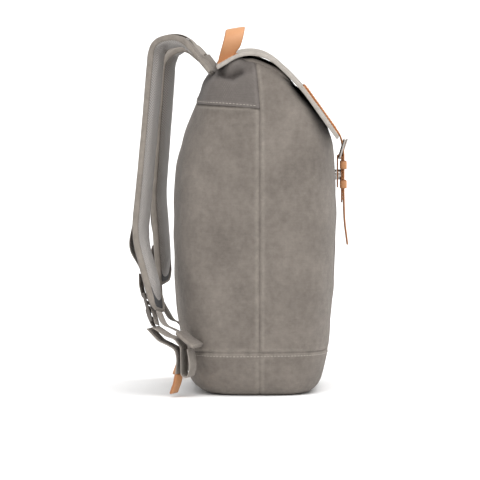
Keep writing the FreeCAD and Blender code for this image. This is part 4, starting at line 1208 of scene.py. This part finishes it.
def foam_place(across, up):
    x = foam_low.x + (foam_high.x - foam_low.x) * across
    z = foam_low.z + (foam_high.z - foam_low.z) * up
    edge = min(x - foam_low.x, foam_high.x - x, z - foam_low.z, foam_high.z - z)
    wall, outwards = bag_surface(math.pi / 2 - 1.05 * (2 * across - 1) * 0.75, 5.6 + 6.0 * up, inset=5.5)
    return Vector((wall.x, wall.y - 1.5 * math.exp(-(edge / 5) ** 2), wall.z)), 0.0


back_foam = cloth_grid("back_foam", 60, 60, foam_place, FOAM, wall=4.0)
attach(back_foam, "bag")
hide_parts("back_foam")


# ---------------------------------------------------------------- stitching
# Bonded thread, about seven stitches to the inch. Each stitch is a small bead a little longer than the
# thread is thick, drawn slightly larger than life so that it shows.
def bonded_thread(name, shade, light):
    """Bonded polyester thread: two plies with a faint satin."""
    material, tree, shader = new_material(name)
    place = add_node(tree, "ShaderNodeTexCoord")
    plies = add_node(tree, "ShaderNodeTexNoise", {"Vector": place.outputs["Object"], "Scale": 900.0})
    tone = add_node(tree, "ShaderNodeMix", {0: plies.outputs["Fac"], 6: srgb(shade), 7: srgb(light)},
                    data_type="RGBA")
    tree.links.new(tone.outputs[2], shader.inputs["Base Color"])
    shader.inputs["Roughness"].default_value = 0.6
    return material


GREY_THREAD = bonded_thread("grey_bonded_thread", "#8B847C", "#B5ADA4")
TAN_THREAD = bonded_thread("tan_bonded_thread", "#C08A5C", "#E2B48A")
STITCH = 3.4
STITCH_STEP = STITCH + 0.8


def stitch_row(name, body, material, line, place, slot_name):
    """Stitches along a line; place turns a point of the line and a height into a point of the bag's frame."""
    length, at = along_line(line)
    bm = bmesh.new()
    for number in range(int(length / STITCH_STEP)):
        distance = (number + 0.5) * STITCH_STEP
        point, ahead = at(distance)
        middle = place(point, 0.0)
        onward = (place(point + ahead, 0.0) - middle).normalized()
        outwards = (place(point, 1.0) - middle).normalized()
        sideways = onward.cross(outwards).normalized()
        turn = Matrix((onward, sideways, outwards)).transposed().to_4x4()
        place_matrix = Matrix.Translation(middle * MM) @ turn @ Matrix.Diagonal(
            (STITCH / 2 * MM, 0.5 * MM, 0.42 * MM, 1))
        bmesh.ops.create_uvsphere(bm, u_segments=6, v_segments=4, radius=1, matrix=place_matrix)
    row = new_piece(name, bm, material)
    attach(row, body)
    return row


def over_flap(height):
    def place(point, lift):
        spot, outwards = on_flap(point.x, point.y, height)
        return spot + outwards * (lift + 0.1)
    return place


FLAP_STITCH_IN = 9.0
stitch_row("flap_stitching", "flap", GREY_THREAD, flap_outline(FLAP_STITCH_IN), over_flap(FLAP_TOP),
           "flap_canvas")
patch_edge = [Vector(spot) for spot in ((-20.5, flap_length - 3), (-20.5, PATCH_START + 2.5),
                                        (20.5, PATCH_START + 2.5), (20.5, flap_length - 3))]
stitch_row("patch_stitching", "flap", TAN_THREAD, patch_edge, over_flap(PATCH_TOP), "tan_leather")
strap_edge = [Vector(spot) for spot in ((-8, flap_length - 8), (-8, PATCH_START + 3), (8, PATCH_START + 3),
                                        (8, flap_length - 8))]
stitch_row("closing_strap_stitching", "flap", TAN_THREAD, strap_edge, over_flap(PATCH_TOP + 2.5),
           "tan_leather")
for side_name, middle in (("left", -HANDLE_HALF), ("right", HANDLE_HALF)):
    foot_edge = [Vector((middle + x, y)) for x, y in ((-12.5, 3.5), (12.5, 3.5), (12.5, 26.5), (-12.5, 26.5),
                                                      (-12.5, 3.5))]
    stitch_row("handle_foot_stitching_" + side_name, "flap", TAN_THREAD, foot_edge, over_flap(PATCH_TOP),
               "tan_leather")
chape_edge = [Vector((x, z)) for x, z in ((-7.5, HEEL.y - 8), (-7.5, HEEL.y - 53), (7.5, HEEL.y - 53),
                                          (7.5, HEEL.y - 8))]
stitch_row("chape_stitching", "closure", TAN_THREAD, chape_edge,
           lambda point, lift: Vector((point.x, CHAPE_OUTER - 0.9 - lift, point.y)), "tan_leather")


def on_bag(point, lift):
    spot, outwards = bag_surface(point.x, point.y)
    return spot + outwards * (lift + 0.1)


base_row = [Vector((2 * math.pi * number / 300, BASE_RING - 0.13)) for number in range(301)]
yoke_row = [Vector((right_seam(YOKE_RING) + (left_seam(YOKE_RING) - right_seam(YOKE_RING)) * number / 200,
                    YOKE_RING + 0.16)) for number in range(201)]


def in_millimetres(rows):
    """A row that is drawn in angles and rings, as a line of its real length and a function that places it."""
    spots = [on_bag(row, 0.0) for row in rows]
    gone = [0.0]
    for start, end in zip(spots, spots[1:]):
        gone.append(gone[-1] + (end - start).length)
    line = [Vector((distance, 0)) for distance in gone]

    def place(point, lift):
        number = next((place for place, distance in enumerate(gone) if distance >= point.x), len(gone) - 1)
        number = max(number, 1)
        span = gone[number] - gone[number - 1]
        row = rows[number - 1].lerp(rows[number], (point.x - gone[number - 1]) / span)
        return on_bag(row, lift + (0.9 if rows is yoke_row else 0.0))
    return line, place


for name, rows, finish in (("base_stitching", base_row, "canvas"),
                           ("yoke_stitching", yoke_row, "ribbed_canvas")):
    line, place = in_millimetres(rows)
    stitch_row(name, "bag", GREY_THREAD, line, place, finish)

for name, strap in STRAPS.items():
    length, at = along_line(strap["path"])
    tack = [Vector((x, RIBBON_FOOT + up)) for x, up in ((-9, 18), (9, 18), (9, 3), (-9, 3), (9, 18))]

    def on_ribbon(point, lift, at=at, frame=strap["frame"]):
        spot, ahead = at(point.y)
        spot = spot + beside(ahead) * (8.1 + lift)
        return frame @ Vector((point.x, spot.x, spot.y))
    stitch_row("strap_tack_" + name, "strap_" + name, GREY_THREAD, tack, on_ribbon, "webbing")
